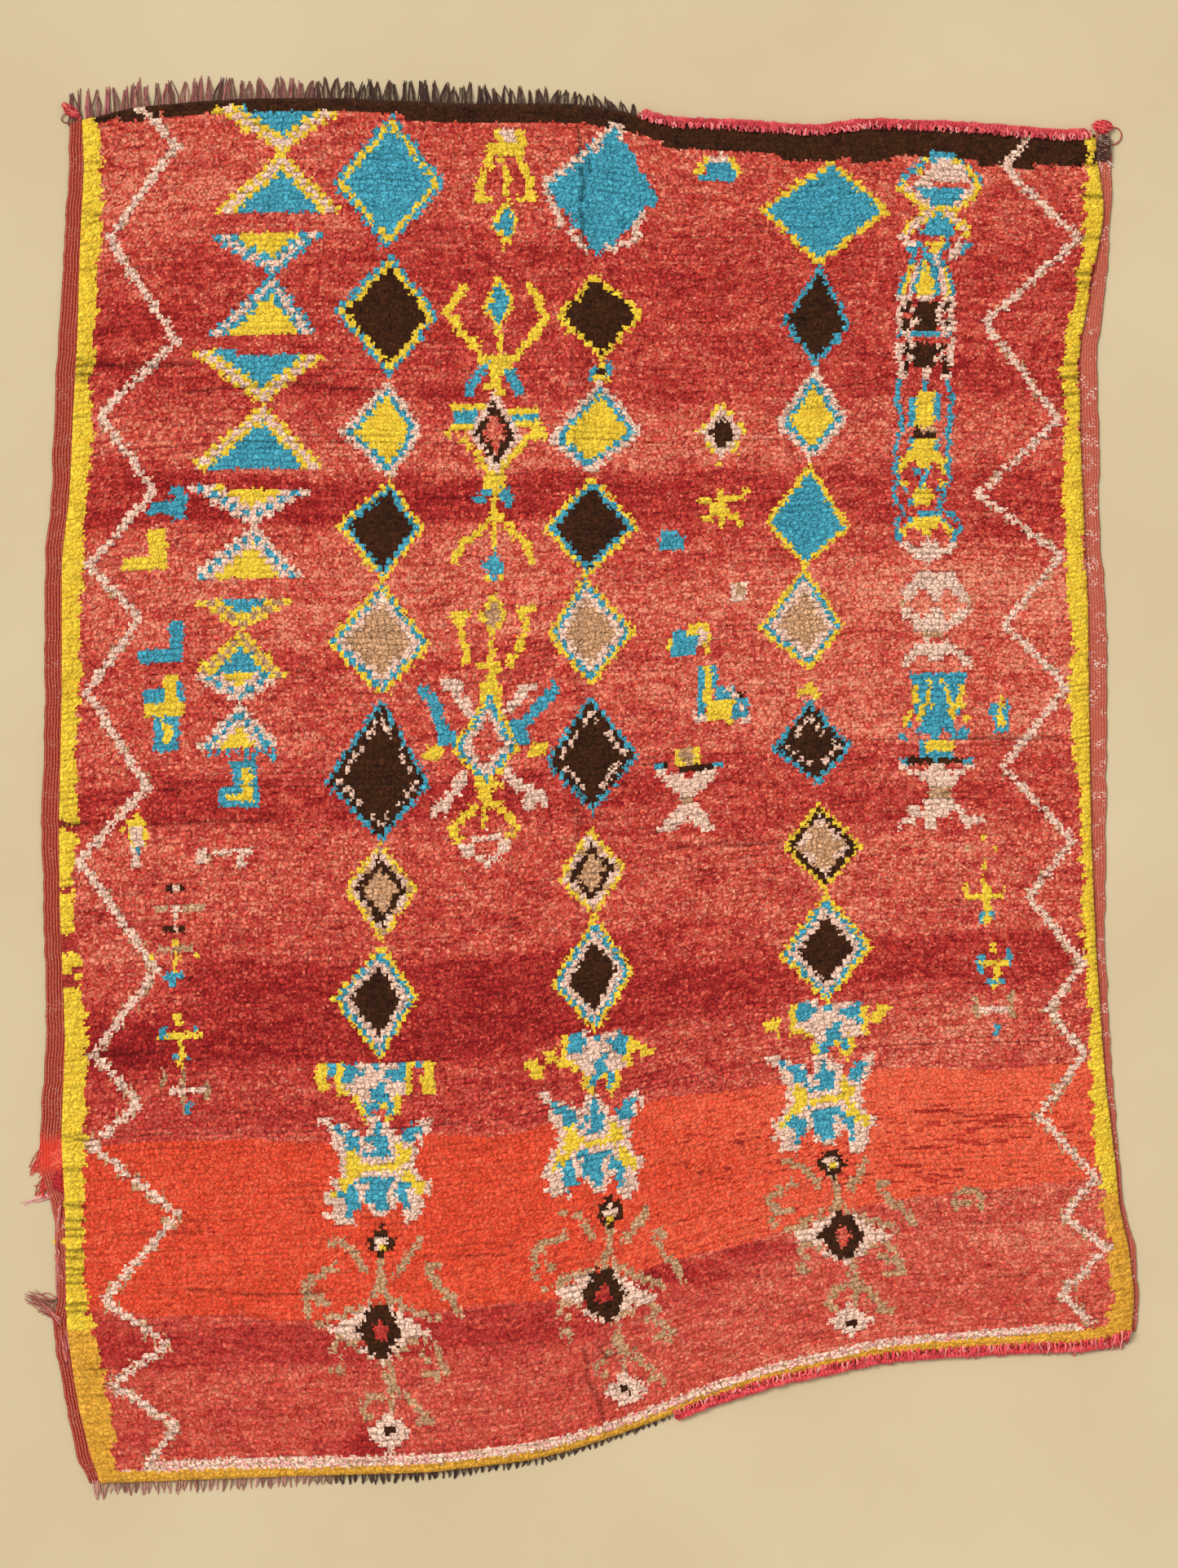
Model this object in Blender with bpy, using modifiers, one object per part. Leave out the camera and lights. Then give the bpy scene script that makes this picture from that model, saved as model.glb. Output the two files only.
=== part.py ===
"""A hand-knotted wool pile rug with a flat-woven selvage down each long side.

It lies flat, its long side along +Y and its pile up. The origin is at floor level, in the middle
of all that the rug covers, with its fringes and frayed ends. Metres, +Z up.
"""
import math
import random

import bmesh
import bpy
import numpy as np

MM = 0.001

# Driving sizes of the cloth
PILE_TOP = 12.0 * MM
PILE_SHOULDER = 8.0 * MM  # height of the pile where it ends at the top and bottom edges
PILE_SIDE_SHARE = 0.8  # of its height, where the pile starts beside a selvage
SELVAGE_TOP = 4.5 * MM
SELVAGE_RIM_TOP = 3.8 * MM  # height of a selvage at its worn outer edge
SHOULDER_RUN = 8.0 * MM  # how far in from an end the pile reaches its full height
STEP_RUN = 1.5 * MM  # how far to either side of its edge the pile rises from the selvage
FOLD_RISE = 6.0 * MM  # the soft fold that runs up the middle of the rug
FOLD_HALF_WIDTH = 14.0 * MM
WAVE_RISE = 0.9 * MM  # the pile's slow unevenness
SIDE_COLUMNS = 14  # of faces, between the fold and either edge of the pile
FOLD_COLUMNS = (-38.0, -22.0, -10.0, 0.0, 10.0, 22.0, 38.0)  # mm from the fold's line
ROWS = 42
GAP = 0.4 * MM  # between one piece and the next

# Driving sizes of what is at the edges
STRIP_WIDTH = 3.0 * MM  # the heading that a fringe's ends come out of
STRIP_TOP = 4.0 * MM
STRANDS = 84  # in each fringe
STRAND_TIP = 0.38  # a strand's width at its tip, against that at its root
OVERCAST_RADIUS = 6.0 * MM
LUMP_MEETS_BELOW = 5.2 * MM  # height up to which a corner's lump of wool stays clear of the edge

# The long sides, from top to bottom. The rug was never square and one selvage is torn, so each
# row is one height, with the selvage's outer edge and the pile's edge there, in mm.
LEFT_SIDE = (
    # height, selvage edge, pile edge
    (982, -750, -731),
    (916, -751, -727),
    (800, -757, -733),
    (659, -767, -737),
    (558, -772, -743),
    (433, -776, -748),
    (337, -786, -760),
    (136, -786, -760),
    (-56, -791, -764),
    (-170, -788, -763),
    (-372, -784, -755),
    (-518, -794, -761),
    (-586, -790, -757),
    (-614, -773, -755),
    (-746, -765, -754),
    (-799, -775, -752),
    (-899, -757, -738),
    (-997, -738, -714),
    (-1024, -716, -700),
)
RIGHT_SIDE = (
    # height, selvage edge, pile edge
    (968, 784, 761),
    (916, 787, 766),
    (856, 786, 776),
    (773, 780, 761),
    (704, 774, 748),
    (654, 764, 738),
    (503, 769, 740),
    (392, 767, 745),
    (269, 779, 751),
    (150, 779, 752),
    (-56, 778, 755),
    (-206, 776, 761),
    (-331, 782, 769),
    (-427, 788, 776),
    (-540, 797, 790),
    (-618, 804, 797),
    (-665, 822, 810),
    (-715, 824, 816),
    (-756, 827, 820),
    (-797, 820, 814),
)

# The two ends, from left to right: the edge's height at each place across, in mm.
TOP_END = (
    # across, height
    (-750, 982),
    (-710, 990),
    (-658, 1004),
    (-562, 1013),
    (-466, 1018),
    (-347, 1018),
    (-170, 1010),
    (-10, 1010),
    (40, 1004),
    (88, 994),
    (126, 980),
    (222, 976),
    (350, 967),
    (427, 978),
    (565, 972),
    (635, 967),
    (718, 959),
    (784, 968),
)
BOTTOM_END = (
    # across, height
    (-716, -1024),
    (-606, -1020),
    (-445, -1014),
    (-210, -1007),
    (-137, -998),
    (-71, -990),
    (-22, -979),
    (52, -955),
    (126, -928),
    (174, -907),
    (289, -870),
    (445, -836),
    (517, -829),
    (683, -820),
    (766, -817),
    (820, -797),
)

# The line of the fold, from top to bottom, in mm.
FOLD_LINE = (
    # height, across
    (980, 8),
    (790, 6),
    (400, -10),
    (0, -12),
    (-400, 0),
    (-820, 14),
    (-960, 40),
)

# How far the warp ends reach past the cloth, in mm.
TOP_FRINGE = (
    # across, reach
    (-722, 49),
    (-710, 52),
    (-562, 35),
    (-347, 31),
    (-170, 34),
    (-10, 22),
    (84, 15),
)
BOTTOM_FRINGE = (
    # across, reach
    (-714, 27),
    (-560, 20),
    (-370, 16),
    (-200, 16),
    (-20, 12),
    (132, 7),
)

# The frayed ends of the left selvage: where each comes out, how far it reaches to the left and
# how far up (+) or down (-) its tip lies from its root, in mm.
FRAY_UPPER = (
    # height, reach, rise
    (-528, 8, -3),
    (-541, 14, -7),
    (-554, 19, -6),
    (-567, 14, 1),
    (-580, 9, -4),
    (-596, 34.6, -13),
)
FRAY_LOWER = (
    # height, reach, rise
    (-747, 30, 6),
    (-756, 47, 12),
    (-765, 38, 9),
    (-774, 24, 6),
    (-783, 12, 3),
)

# The whipped ends: where each starts and stops across the rug, in mm.
TOP_OVERCAST = (92, 752)
BOTTOM_OVERCAST = (140, 812)

# The loose lumps of wool at the two top corners, in mm.
CORNER_TUFT = {"across": -746, "wide": 26, "deep": 25, "high": 11}
CORNER_KNOB = {"across": 770, "wide": 27, "deep": 19, "high": 12}

# The wrapped patch on the right selvage, under the top corner, in mm.
CORNER_PATCH = {"left": 769, "right": 784, "bottom": 926, "top": 962, "thick": 4.5}


def column(table, place):
    """One column of a table, as an array."""
    return np.array([row[place] for row in table], float)


def read(table, place, value):
    """Metres in column `value`, read straight between the rows at `place` metres in the first."""
    at = column(table, 0)
    order = np.argsort(at)
    return np.interp(place, at[order] * MM, column(table, value)[order] * MM)


def outline(s, t):
    """The point at shares s across and t up the cloth.

    A Coons patch: the sum of the blends between the two sides and between the two ends, less the
    blend of the four corners, which both of those hold.
    """
    low_left, low_right = BOTTOM_END[0], BOTTOM_END[-1]
    high_left, high_right = TOP_END[0], TOP_END[-1]
    left_y = (low_left[1] + (high_left[1] - low_left[1]) * t) * MM
    right_y = (low_right[1] + (high_right[1] - low_right[1]) * t) * MM
    low_x = (low_left[0] + (low_right[0] - low_left[0]) * s) * MM
    high_x = (high_left[0] + (high_right[0] - high_left[0]) * s) * MM
    left = np.array((read(LEFT_SIDE, left_y, 1), left_y))
    right = np.array((read(RIGHT_SIDE, right_y, 1), right_y))
    low = np.array((low_x, read(BOTTOM_END, low_x, 1)))
    high = np.array((high_x, read(TOP_END, high_x, 1)))
    corners = [np.array(c) * MM for c in (low_left, low_right, high_left, high_right)]
    flat = (1 - t) * ((1 - s) * corners[0] + s * corners[1])
    flat = flat + t * ((1 - s) * corners[2] + s * corners[3])
    return (1 - s) * left + s * right + (1 - t) * low + t * high - flat


def pile_height(x, y, off_fold, from_end):
    """Height of the pile: its full height, slow waves, the fold and the drop at each end."""
    waves = math.sin(7.1 * x + 3.0 * y) * math.cos(5.3 * y - 2.2 * x) + 0.6 * math.sin(13.0 * y + 4.0 * x)
    fold = FOLD_RISE * (0.75 + 0.25 * math.sin(4.0 * y + 0.8))
    full = PILE_TOP + WAVE_RISE * waves + fold * math.exp(-((off_fold / FOLD_HALF_WIDTH) ** 2))
    drop = max(0.0, 1.0 - from_end / SHOULDER_RUN)
    return full + (PILE_SHOULDER - full) * drop


def up_shares():
    """Shares up the cloth, with a row close inside each end where the pile drops."""
    length = (TOP_END[0][1] - BOTTOM_END[0][1]) * MM
    edge = SHOULDER_RUN / length
    return [0.0, edge] + [k / ROWS for k in range(1, ROWS)] + [1.0 - edge, 1.0]


def cloth_row(t):
    """One row of the cloth's upper surface, from left to right, at share t up it.

    The selvage's rim and foot, then the pile: evenly spaced columns, closer ones at the fold and
    evenly spaced ones again, then the other selvage's foot and rim.
    """
    left, right = outline(0.0, t), outline(1.0, t)
    width = right[0] - left[0]
    start = read(LEFT_SIDE, left[1], 2) - left[0]
    stop = read(RIGHT_SIDE, right[1], 2) - left[0]
    middle = outline(0.5, t)
    fold = read(FOLD_LINE, middle[1], 1) - left[0]
    near_fold = [fold + step * MM for step in FOLD_COLUMNS]
    pile = list(np.linspace(start + STEP_RUN, near_fold[0], SIDE_COLUMNS, endpoint=False))
    pile += near_fold
    pile += list(np.linspace(near_fold[-1], stop - STEP_RUN, SIDE_COLUMNS + 1))[1:]
    length = (TOP_END[0][1] - BOTTOM_END[0][1]) * MM
    from_end = min(t, 1.0 - t) * length
    points = []
    for place in [0.0, start - STEP_RUN] + pile + [stop + STEP_RUN, width]:
        x, y = outline(place / width, t)
        points.append([x, y, pile_height(x, y, place - fold, from_end)])
    for rim, foot, side in ((0, 1, 2), (-1, -2, -3)):
        points[rim][2] = SELVAGE_RIM_TOP
        points[foot][2] = SELVAGE_TOP
        points[side][2] *= PILE_SIDE_SHARE
    return points


def new_collection(name):
    """A collection in the scene."""
    made = bpy.data.collections.new(name)
    bpy.context.scene.collection.children.link(made)
    return made


def wool(name, colour, roughness):
    """A dull dyed-wool material."""
    material = bpy.data.materials.new(name)
    material.use_nodes = True
    shader = material.node_tree.nodes["Principled BSDF"]
    shader.inputs["Base Color"].default_value = (*colour, 1.0)
    shader.inputs["Roughness"].default_value = roughness
    shader.inputs["Metallic"].default_value = 0.0
    return material


def add_object(name, shape, material):
    """An object from a finished bmesh, in the rug's collection."""
    bmesh.ops.recalc_face_normals(shape, faces=shape.faces)
    mesh = bpy.data.meshes.new(name)
    shape.to_mesh(mesh)
    shape.free()
    mesh.materials.append(material)
    made = bpy.data.objects.new(name, mesh)
    RUG.objects.link(made)
    return made


def lay_grid(columns, rows, place):
    """A grid primitive of columns by rows faces, each corner moved to place(column, row)."""
    shape = bmesh.new()
    bmesh.ops.create_grid(shape, x_segments=columns, y_segments=rows, size=0.5)
    for vert in shape.verts:
        vert.co = place(round((vert.co.x + 0.5) * columns), round((vert.co.y + 0.5) * rows))
    return shape


def close_to_floor(shape):
    """Closes an open upper surface down to the floor, and makes its underside one flat face."""
    made = bmesh.ops.extrude_face_region(shape, geom=shape.faces[:], use_keep_orig=True)
    for item in made["geom"]:
        if isinstance(item, bmesh.types.BMVert):
            item.co.z = 0.0
    under = [item for item in made["geom"] if isinstance(item, bmesh.types.BMFace)]
    bmesh.ops.dissolve_faces(shape, faces=under, use_verts=False)
    bmesh.ops.recalc_face_normals(shape, faces=shape.faces)


def rug_body():
    """The woven cloth with its pile: a slab with low selvages, a fold and a flat underside."""
    points = np.array([cloth_row(t) for t in up_shares()])
    rows, columns = points.shape[:2]
    shape = lay_grid(columns - 1, rows - 1, lambda across, up: points[up, across])
    close_to_floor(shape)
    add_object("rug_body", shape, wool("red_pile_wool", (0.46, 0.07, 0.05), 0.95))
    return points[:, :, :2]


def frayed_edge(name, line, way, ends, material):
    """Yarn ends that lie on the floor, side by side, and come out of a narrow heading.

    line holds the cloth's edge at 2n + 1 places, way points away from the cloth, and ends holds
    n pairs: how far an end reaches and how far along the edge its tip lies from its root. Every
    second face of the heading's outer wall is drawn out in two steps into a four-sided end, which
    narrows to its tip and rests level on the floor.
    """
    line, way = np.array(line), np.array(way, float)
    along = np.array((-way[1], way[0])) if way[0] else np.array((1.0, 0.0))
    reach = (GAP, GAP + STRIP_WIDTH)

    shape = lay_grid(len(line) - 1, 1, lambda at, out: (*(line[at] + way * reach[out]), STRIP_TOP))
    close_to_floor(shape)
    outer = []
    for face in shape.faces:
        if face.normal.x * way[0] + face.normal.y * way[1] > 0.5:
            middle = face.calc_center_median()
            outer.append((middle.x * along[0] + middle.y * along[1], face))
    outer.sort(key=lambda pair: pair[0])
    for (_, root), (length, sideways) in zip(outer[1::2], ends):
        draw_out(shape, root, way, along, length - GAP - STRIP_WIDTH, sideways)
    return add_object(name, shape, material)


def draw_out(shape, face, way, along, length, sideways):
    """Extrudes one upright face along way in two steps, each lower and narrower than the last."""
    middle = face.calc_center_median()
    root = np.array((middle.x, middle.y))
    half = max(abs((v.co.x - middle.x) * along[0] + (v.co.y - middle.y) * along[1]) for v in face.verts)
    for share, swing, width, height in ((0.5, 0.35, 0.85, 0.8), (1.0, 1.0, STRAND_TIP, 0.5)):
        face = bmesh.ops.extrude_discrete_faces(shape, faces=[face])["faces"][0]
        here = face.calc_center_median()
        for vert in face.verts:
            side = (vert.co.x - here.x) * along[0] + (vert.co.y - here.y) * along[1]
            off_root = sideways * swing + math.copysign(half * width, side)
            x, y = root + way * length * share + along * off_root
            vert.co = (x, y, STRIP_TOP * height if vert.co.z > here.z else 0.0)


def edge_between(edge, low, high, places, axis):
    """Points on a polyline edge, evenly spaced along one axis from low to high."""
    order = np.argsort(edge[:, axis])
    at = np.linspace(low, high, places)
    other = np.interp(at, edge[order, axis], edge[order, 1 - axis])
    return np.column_stack((at, other) if axis == 0 else (other, at))


def fringe(name, edge, way, table, seed, material):
    """A row of warp ends along one end of the cloth, as long as the table says."""
    rng = random.Random(seed)
    line = edge_between(edge, table[0][0] * MM, table[-1][0] * MM, 2 * STRANDS + 2, 0)
    ends = []
    for k in range(STRANDS):
        x = line[2 * k + 1][0]
        lean = 2.6 * MM * math.sin(11.0 * x + seed) + rng.uniform(-1.2, 1.2) * MM
        ends.append((read(table, x, 1) * rng.uniform(0.84, 1.0), lean))
    return frayed_edge(name, line, way, ends, material)


def selvage_fray(name, edge, table, material):
    """The torn ends of the left selvage, one for each row of the table, pointing left."""
    heights = sorted(column(table, 0) * MM)
    rows = sorted(table)
    half = (heights[-1] - heights[0]) / (len(rows) - 1) / 2
    low, high = heights[0] - 1.5 * half, heights[-1] + 0.5 * half
    line = edge_between(edge, low, high, 2 * len(rows) + 1, 1)
    ends = [(reach * MM, rise * MM) for _, reach, rise in rows]
    return frayed_edge(name, line, (-1.0, 0.0), ends, material)


def overcast(name, edge, span, way, seed, material):
    """Yarn whipped round the end of the cloth: an uneven round roll that follows the edge.

    A tube on the edge's own corners, pushed out by its radius and a gap, with mitred turns.
    """
    rng = random.Random(seed)
    inside = edge[(edge[:, 0] > span[0] * MM) & (edge[:, 0] < span[1] * MM)]
    ends = edge_between(edge, span[0] * MM, span[1] * MM, 2, 0)
    line = np.vstack((ends[:1], inside, ends[1:]))
    steps = np.diff(line, axis=0)
    steps = steps / np.linalg.norm(steps, axis=1)[:, None]
    before, after = np.vstack((steps[:1], steps)), np.vstack((steps, steps[-1:]))
    normal = np.column_stack((-(before + after)[:, 1], (before + after)[:, 0])) * way
    normal = normal / np.linalg.norm(normal, axis=1)[:, None]
    cosine = np.abs(np.sum(normal * np.column_stack((-after[:, 1], after[:, 0])), axis=1))
    path = line + normal * ((OVERCAST_RADIUS + GAP) / cosine)[:, None]

    roll = bpy.data.curves.new(name, "CURVE")
    roll.dimensions = "3D"
    roll.bevel_depth = OVERCAST_RADIUS
    roll.bevel_resolution = 2
    roll.use_fill_caps = True
    spline = roll.splines.new("POLY")
    spline.points.add(len(path) - 1)
    for point, (x, y) in zip(spline.points, path):
        point.co = (x, y, OVERCAST_RADIUS, 1.0)
        point.radius = rng.uniform(0.86, 1.0)
    roll.materials.append(material)
    made = bpy.data.objects.new(name, roll)
    RUG.objects.link(made)
    return made


def wool_lump(name, sizes, edge, seed, material):
    """A loose lump of wool on the floor, against the cloth's top edge.

    A ball that is pressed flat underneath and pulled uneven, then moved up to the edge.
    """
    rng = random.Random(seed)
    shape = bmesh.new()
    bmesh.ops.create_icosphere(shape, subdivisions=2, radius=0.5)
    for vert in shape.verts:
        pull = rng.uniform(0.84, 1.0)
        up = vert.co.z + 0.5
        vert.co.x = (sizes["across"] + vert.co.x * sizes["wide"] * pull) * MM
        vert.co.y = vert.co.y * sizes["deep"] * pull * MM
        vert.co.z = up * sizes["high"] * (pull if up > 0.2 else 0.25) * MM
    low = min(vert.co.z for vert in shape.verts)
    meeting = [vert.co for vert in shape.verts if vert.co.z - low < LUMP_MEETS_BELOW]
    reach = max(np.interp(co.x, edge[:, 0], edge[:, 1]) - co.y for co in meeting)
    for vert in shape.verts:
        vert.co.y += reach + GAP
        vert.co.z -= low
    return add_object(name, shape, material)


def corner_patch(material):
    """The dark wrapping over the selvage's corner: a low pad with rounded edges, on the selvage."""
    sizes = CORNER_PATCH
    bpy.ops.mesh.primitive_cube_add(size=1.0)
    made = bpy.context.active_object
    made.name = made.data.name = "corner_overcast"
    middle_x, middle_y = (sizes["left"] + sizes["right"]) / 2, (sizes["bottom"] + sizes["top"]) / 2
    made.dimensions = (
        (sizes["right"] - sizes["left"]) * MM,
        (sizes["top"] - sizes["bottom"]) * MM,
        sizes["thick"] * MM,
    )
    made.location = (middle_x * MM, middle_y * MM, SELVAGE_TOP + GAP + sizes["thick"] * MM / 2)
    bpy.context.view_layer.update()
    bpy.ops.object.transform_apply(location=False, rotation=False, scale=True)
    bevel = made.modifiers.new("worn edges", "BEVEL")
    bevel.width = 1.5 * MM
    bevel.segments = 2
    made.data.materials.append(material)
    for owner in list(made.users_collection):
        owner.objects.unlink(made)
    RUG.objects.link(made)
    return made


for old in list(bpy.data.objects):
    bpy.data.objects.remove(old, do_unlink=True)

RUG = new_collection("moroccan_rug")

cloth = rug_body()
left_edge, bottom_edge, top_edge = cloth[:, 0], cloth[0], cloth[-1]

brown_warp = wool("brown_warp_yarn", (0.2, 0.08, 0.05), 0.9)
fringe("top_fringe", top_edge, (0.0, 1.0), TOP_FRINGE, 3, brown_warp)
dark_warp = wool("dark_warp_yarn", (0.09, 0.04, 0.03), 0.9)
fringe("bottom_fringe", bottom_edge, (0.0, -1.0), BOTTOM_FRINGE, 8, dark_warp)

pink_whipping = wool("pink_whipping_yarn", (0.85, 0.16, 0.18), 0.92)
overcast("top_overcast", top_edge, TOP_OVERCAST, 1.0, 5, pink_whipping)
rose_whipping = wool("rose_whipping_yarn", (0.78, 0.1, 0.1), 0.92)
overcast("bottom_overcast", bottom_edge, BOTTOM_OVERCAST, -1.0, 6, rose_whipping)
corner_patch(wool("dark_brown_wrapping_yarn", (0.05, 0.025, 0.018), 0.95))

red_frayed = wool("red_frayed_yarn", (0.6, 0.1, 0.09), 0.95)
selvage_fray("frayed_selvage_upper", left_edge, FRAY_UPPER, red_frayed)
brown_frayed = wool("brown_frayed_yarn", (0.22, 0.12, 0.08), 0.95)
selvage_fray("frayed_selvage_lower", left_edge, FRAY_LOWER, brown_frayed)

wool_lump("corner_tuft", CORNER_TUFT, top_edge, 11, wool("pink_tuft_wool", (0.8, 0.25, 0.28), 0.95))
wool_lump("corner_knob", CORNER_KNOB, top_edge, 12, wool("red_knot_wool", (0.7, 0.07, 0.08), 0.95))
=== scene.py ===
"""A hand-knotted Moroccan rug of wool pile, laid flat on a pale floor and seen from above.

The cloth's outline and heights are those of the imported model. What is knotted, whipped or frayed
is made here: the ground with its flat-woven sides, the knots with their dyes, and the yarns.
"""
import math

import bpy
import numpy as np
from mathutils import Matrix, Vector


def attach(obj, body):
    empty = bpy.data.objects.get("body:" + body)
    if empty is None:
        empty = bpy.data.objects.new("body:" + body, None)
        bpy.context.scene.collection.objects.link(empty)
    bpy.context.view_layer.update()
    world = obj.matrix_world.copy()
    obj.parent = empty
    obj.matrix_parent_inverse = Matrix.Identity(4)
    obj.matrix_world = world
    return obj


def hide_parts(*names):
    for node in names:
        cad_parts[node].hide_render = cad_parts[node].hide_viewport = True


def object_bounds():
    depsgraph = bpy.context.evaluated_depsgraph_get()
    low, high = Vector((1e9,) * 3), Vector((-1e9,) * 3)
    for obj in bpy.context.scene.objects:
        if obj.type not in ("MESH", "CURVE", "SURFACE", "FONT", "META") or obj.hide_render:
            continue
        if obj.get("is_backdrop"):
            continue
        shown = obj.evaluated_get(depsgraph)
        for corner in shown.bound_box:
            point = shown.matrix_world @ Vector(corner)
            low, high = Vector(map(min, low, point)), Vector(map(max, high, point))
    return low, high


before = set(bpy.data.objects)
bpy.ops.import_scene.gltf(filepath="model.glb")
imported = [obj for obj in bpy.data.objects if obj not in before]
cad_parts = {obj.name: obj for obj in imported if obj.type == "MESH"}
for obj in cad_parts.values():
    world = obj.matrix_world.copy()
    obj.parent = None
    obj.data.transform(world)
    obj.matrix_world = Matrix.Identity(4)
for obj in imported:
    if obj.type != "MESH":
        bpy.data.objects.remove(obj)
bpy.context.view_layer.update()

# Camera, light and floor
# The photograph looks straight down on the rug, in even soft light from a little to the left.
# The camera stands far enough off that its small perspective is that of the picture.
PIXEL = 0.0012  # metres of rug for each pixel of the photograph
PHOTO_WIDE, PHOTO_HIGH = 1445, 1924
ORIGIN_ACROSS, ORIGIN_DOWN = 709, 968  # the pixel that lies over the origin
CAMERA_HEIGHT = 5.0
PILE_LEVEL = 0.010  # the height at which a pixel is that many metres


def to_metres(across, down):
    """A pixel's place on the rug: x = (across - 709) 1.2 mm, y = (968 - down) 1.2 mm."""
    return (across - ORIGIN_ACROSS) * PIXEL, (ORIGIN_DOWN - down) * PIXEL


def linear(code):
    """The linear colour of an sRGB hex value: c/12.92 in the darks, else ((c + 0.055)/1.055)^2.4."""
    parts = np.array([int(code[k : k + 2], 16) for k in (1, 3, 5)]) / 255.0
    return np.where(parts <= 0.04045, parts / 12.92, ((parts + 0.055) / 1.055) ** 2.4)


def add(tree, kind, sockets=None, **settings):
    """One node of a kind, with its settings; a socket is given a value or another node's output."""
    made = tree.nodes.new(kind)
    for name, value in settings.items():
        setattr(made, name, value)
    for name, value in (sockets or {}).items():
        if isinstance(value, bpy.types.NodeSocket):
            tree.links.new(value, made.inputs[name])
        else:
            made.inputs[name].default_value = value
    return made


def paint(code):
    """A hex colour as a socket takes it, with full cover."""
    return (*linear(code), 1.0)


eye = bpy.data.cameras.new("photo_camera")
eye.sensor_fit = "VERTICAL"
eye.sensor_height = 24.0
eye.lens = eye.sensor_height * (CAMERA_HEIGHT - PILE_LEVEL) / (PHOTO_HIGH * PIXEL)
eye.clip_end = 50.0
camera = bpy.data.objects.new("photo_camera", eye)
camera.location = (*to_metres(PHOTO_WIDE / 2, PHOTO_HIGH / 2), CAMERA_HEIGHT)
bpy.context.scene.collection.objects.link(camera)
bpy.context.scene.camera = camera
bpy.context.scene.view_settings.view_transform = "Standard"

world = bpy.data.worlds.new("studio_room")
world.use_nodes = True
room = world.node_tree.nodes["Background"]
room.inputs["Color"].default_value = (1.0, 0.985, 0.96, 1.0)
room.inputs["Strength"].default_value = 0.62
bpy.context.scene.world = world

LAMP_FROM = np.array((-0.55, 0.45, 0.85))  # from the rug's middle towards the soft lamp
lamp = bpy.data.lights.new("soft_lamp", "SUN")
lamp.energy = 2.3
lamp.angle = math.radians(24)
lamp.color = (1.0, 0.985, 0.955)
lamp_stand = bpy.data.objects.new("soft_lamp", lamp)
lamp_way = LAMP_FROM / np.linalg.norm(LAMP_FROM)
lamp_stand.rotation_euler = (math.acos(lamp_way[2]), 0.0, math.atan2(lamp_way[0], -lamp_way[1]))
bpy.context.scene.collection.objects.link(lamp_stand)

FLOOR_HALF = 6.0
FLOOR_DROP = 0.0002  # below the rug, so that the two never share a face
floor_mesh = bpy.data.meshes.new("pale_floor")
corner_signs = ((-1, -1), (1, -1), (1, 1), (-1, 1))
floor_points = [(x * FLOOR_HALF, y * FLOOR_HALF, -FLOOR_DROP) for x, y in corner_signs]
floor_mesh.from_pydata(floor_points, [], [(0, 1, 2, 3)])
floor = bpy.data.objects.new("pale_floor", floor_mesh)
bpy.context.scene.collection.objects.link(floor)
floor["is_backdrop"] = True


def new_material(name):
    """A material with nodes, and its node tree."""
    made = bpy.data.materials.new(name)
    made.use_nodes = True
    return made, made.node_tree


def noise(tree, place, scale, detail=2.0, socket="Fac"):
    """Seedless cloudy noise at a place, about 0.5."""
    sockets = {"Vector": place, "Scale": scale, "Detail": detail}
    return add(tree, "ShaderNodeTexNoise", sockets).outputs[socket]


def mixed(tree, share, first, second):
    """A colour between two: first (1 - share) + second share."""
    sockets = {"Factor": share, "A": first, "B": second}
    return add(tree, "ShaderNodeMix", sockets, data_type="RGBA").outputs["Result"]


def coat(tree, colour, constants, relief=None, strength=0.5, distance=0.001):
    """Joins a colour, and a bump of a relief, to the shader, and sets its constants."""
    shader = tree.nodes["Principled BSDF"]
    tree.links.new(colour, shader.inputs["Base Color"])
    if relief:
        bump = add(tree, "ShaderNodeBump", {"Height": relief, "Strength": strength, "Distance": distance})
        tree.links.new(bump.outputs["Normal"], shader.inputs["Normal"])
    for name, value in constants.items():
        shader.inputs[name].default_value = value


# Limed boards without their joints: a matt pale coat with faint grey and buff clouds in it.
limed, tree = new_material("limed_board_coat")
place = add(tree, "ShaderNodeTexCoord").outputs["Object"]
coat(
    tree,
    mixed(tree, noise(tree, place, 2.2, 4.0), paint("#BFAB86"), paint("#D6C4A0")),
    {"Roughness": 0.85},
)
floor_mesh.materials.append(limed)

# The woven ground
# Wool warp and weft: a firm flat cloth that carries the knots, with a corded selvage left bare
# down each long side, and the backs of the knots showing underneath. It lies flat on the floor.
MM = 0.001
GROUND_TOP = 3.0 * MM  # under the pile
SELVAGE_TOP = 4.4 * MM
SELVAGE_RIM_TOP = 3.4 * MM
RIB_RISE = 1.0 * MM
RIBS = 7  # cords of doubled warps in a selvage
SELVAGE_COLUMNS = 28
KNOT_ROWS = 204
KNOT_COLUMNS = 149
CORNER_EASE = 22.0  # mm to either side over which a table's straight runs are eased together

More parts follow.
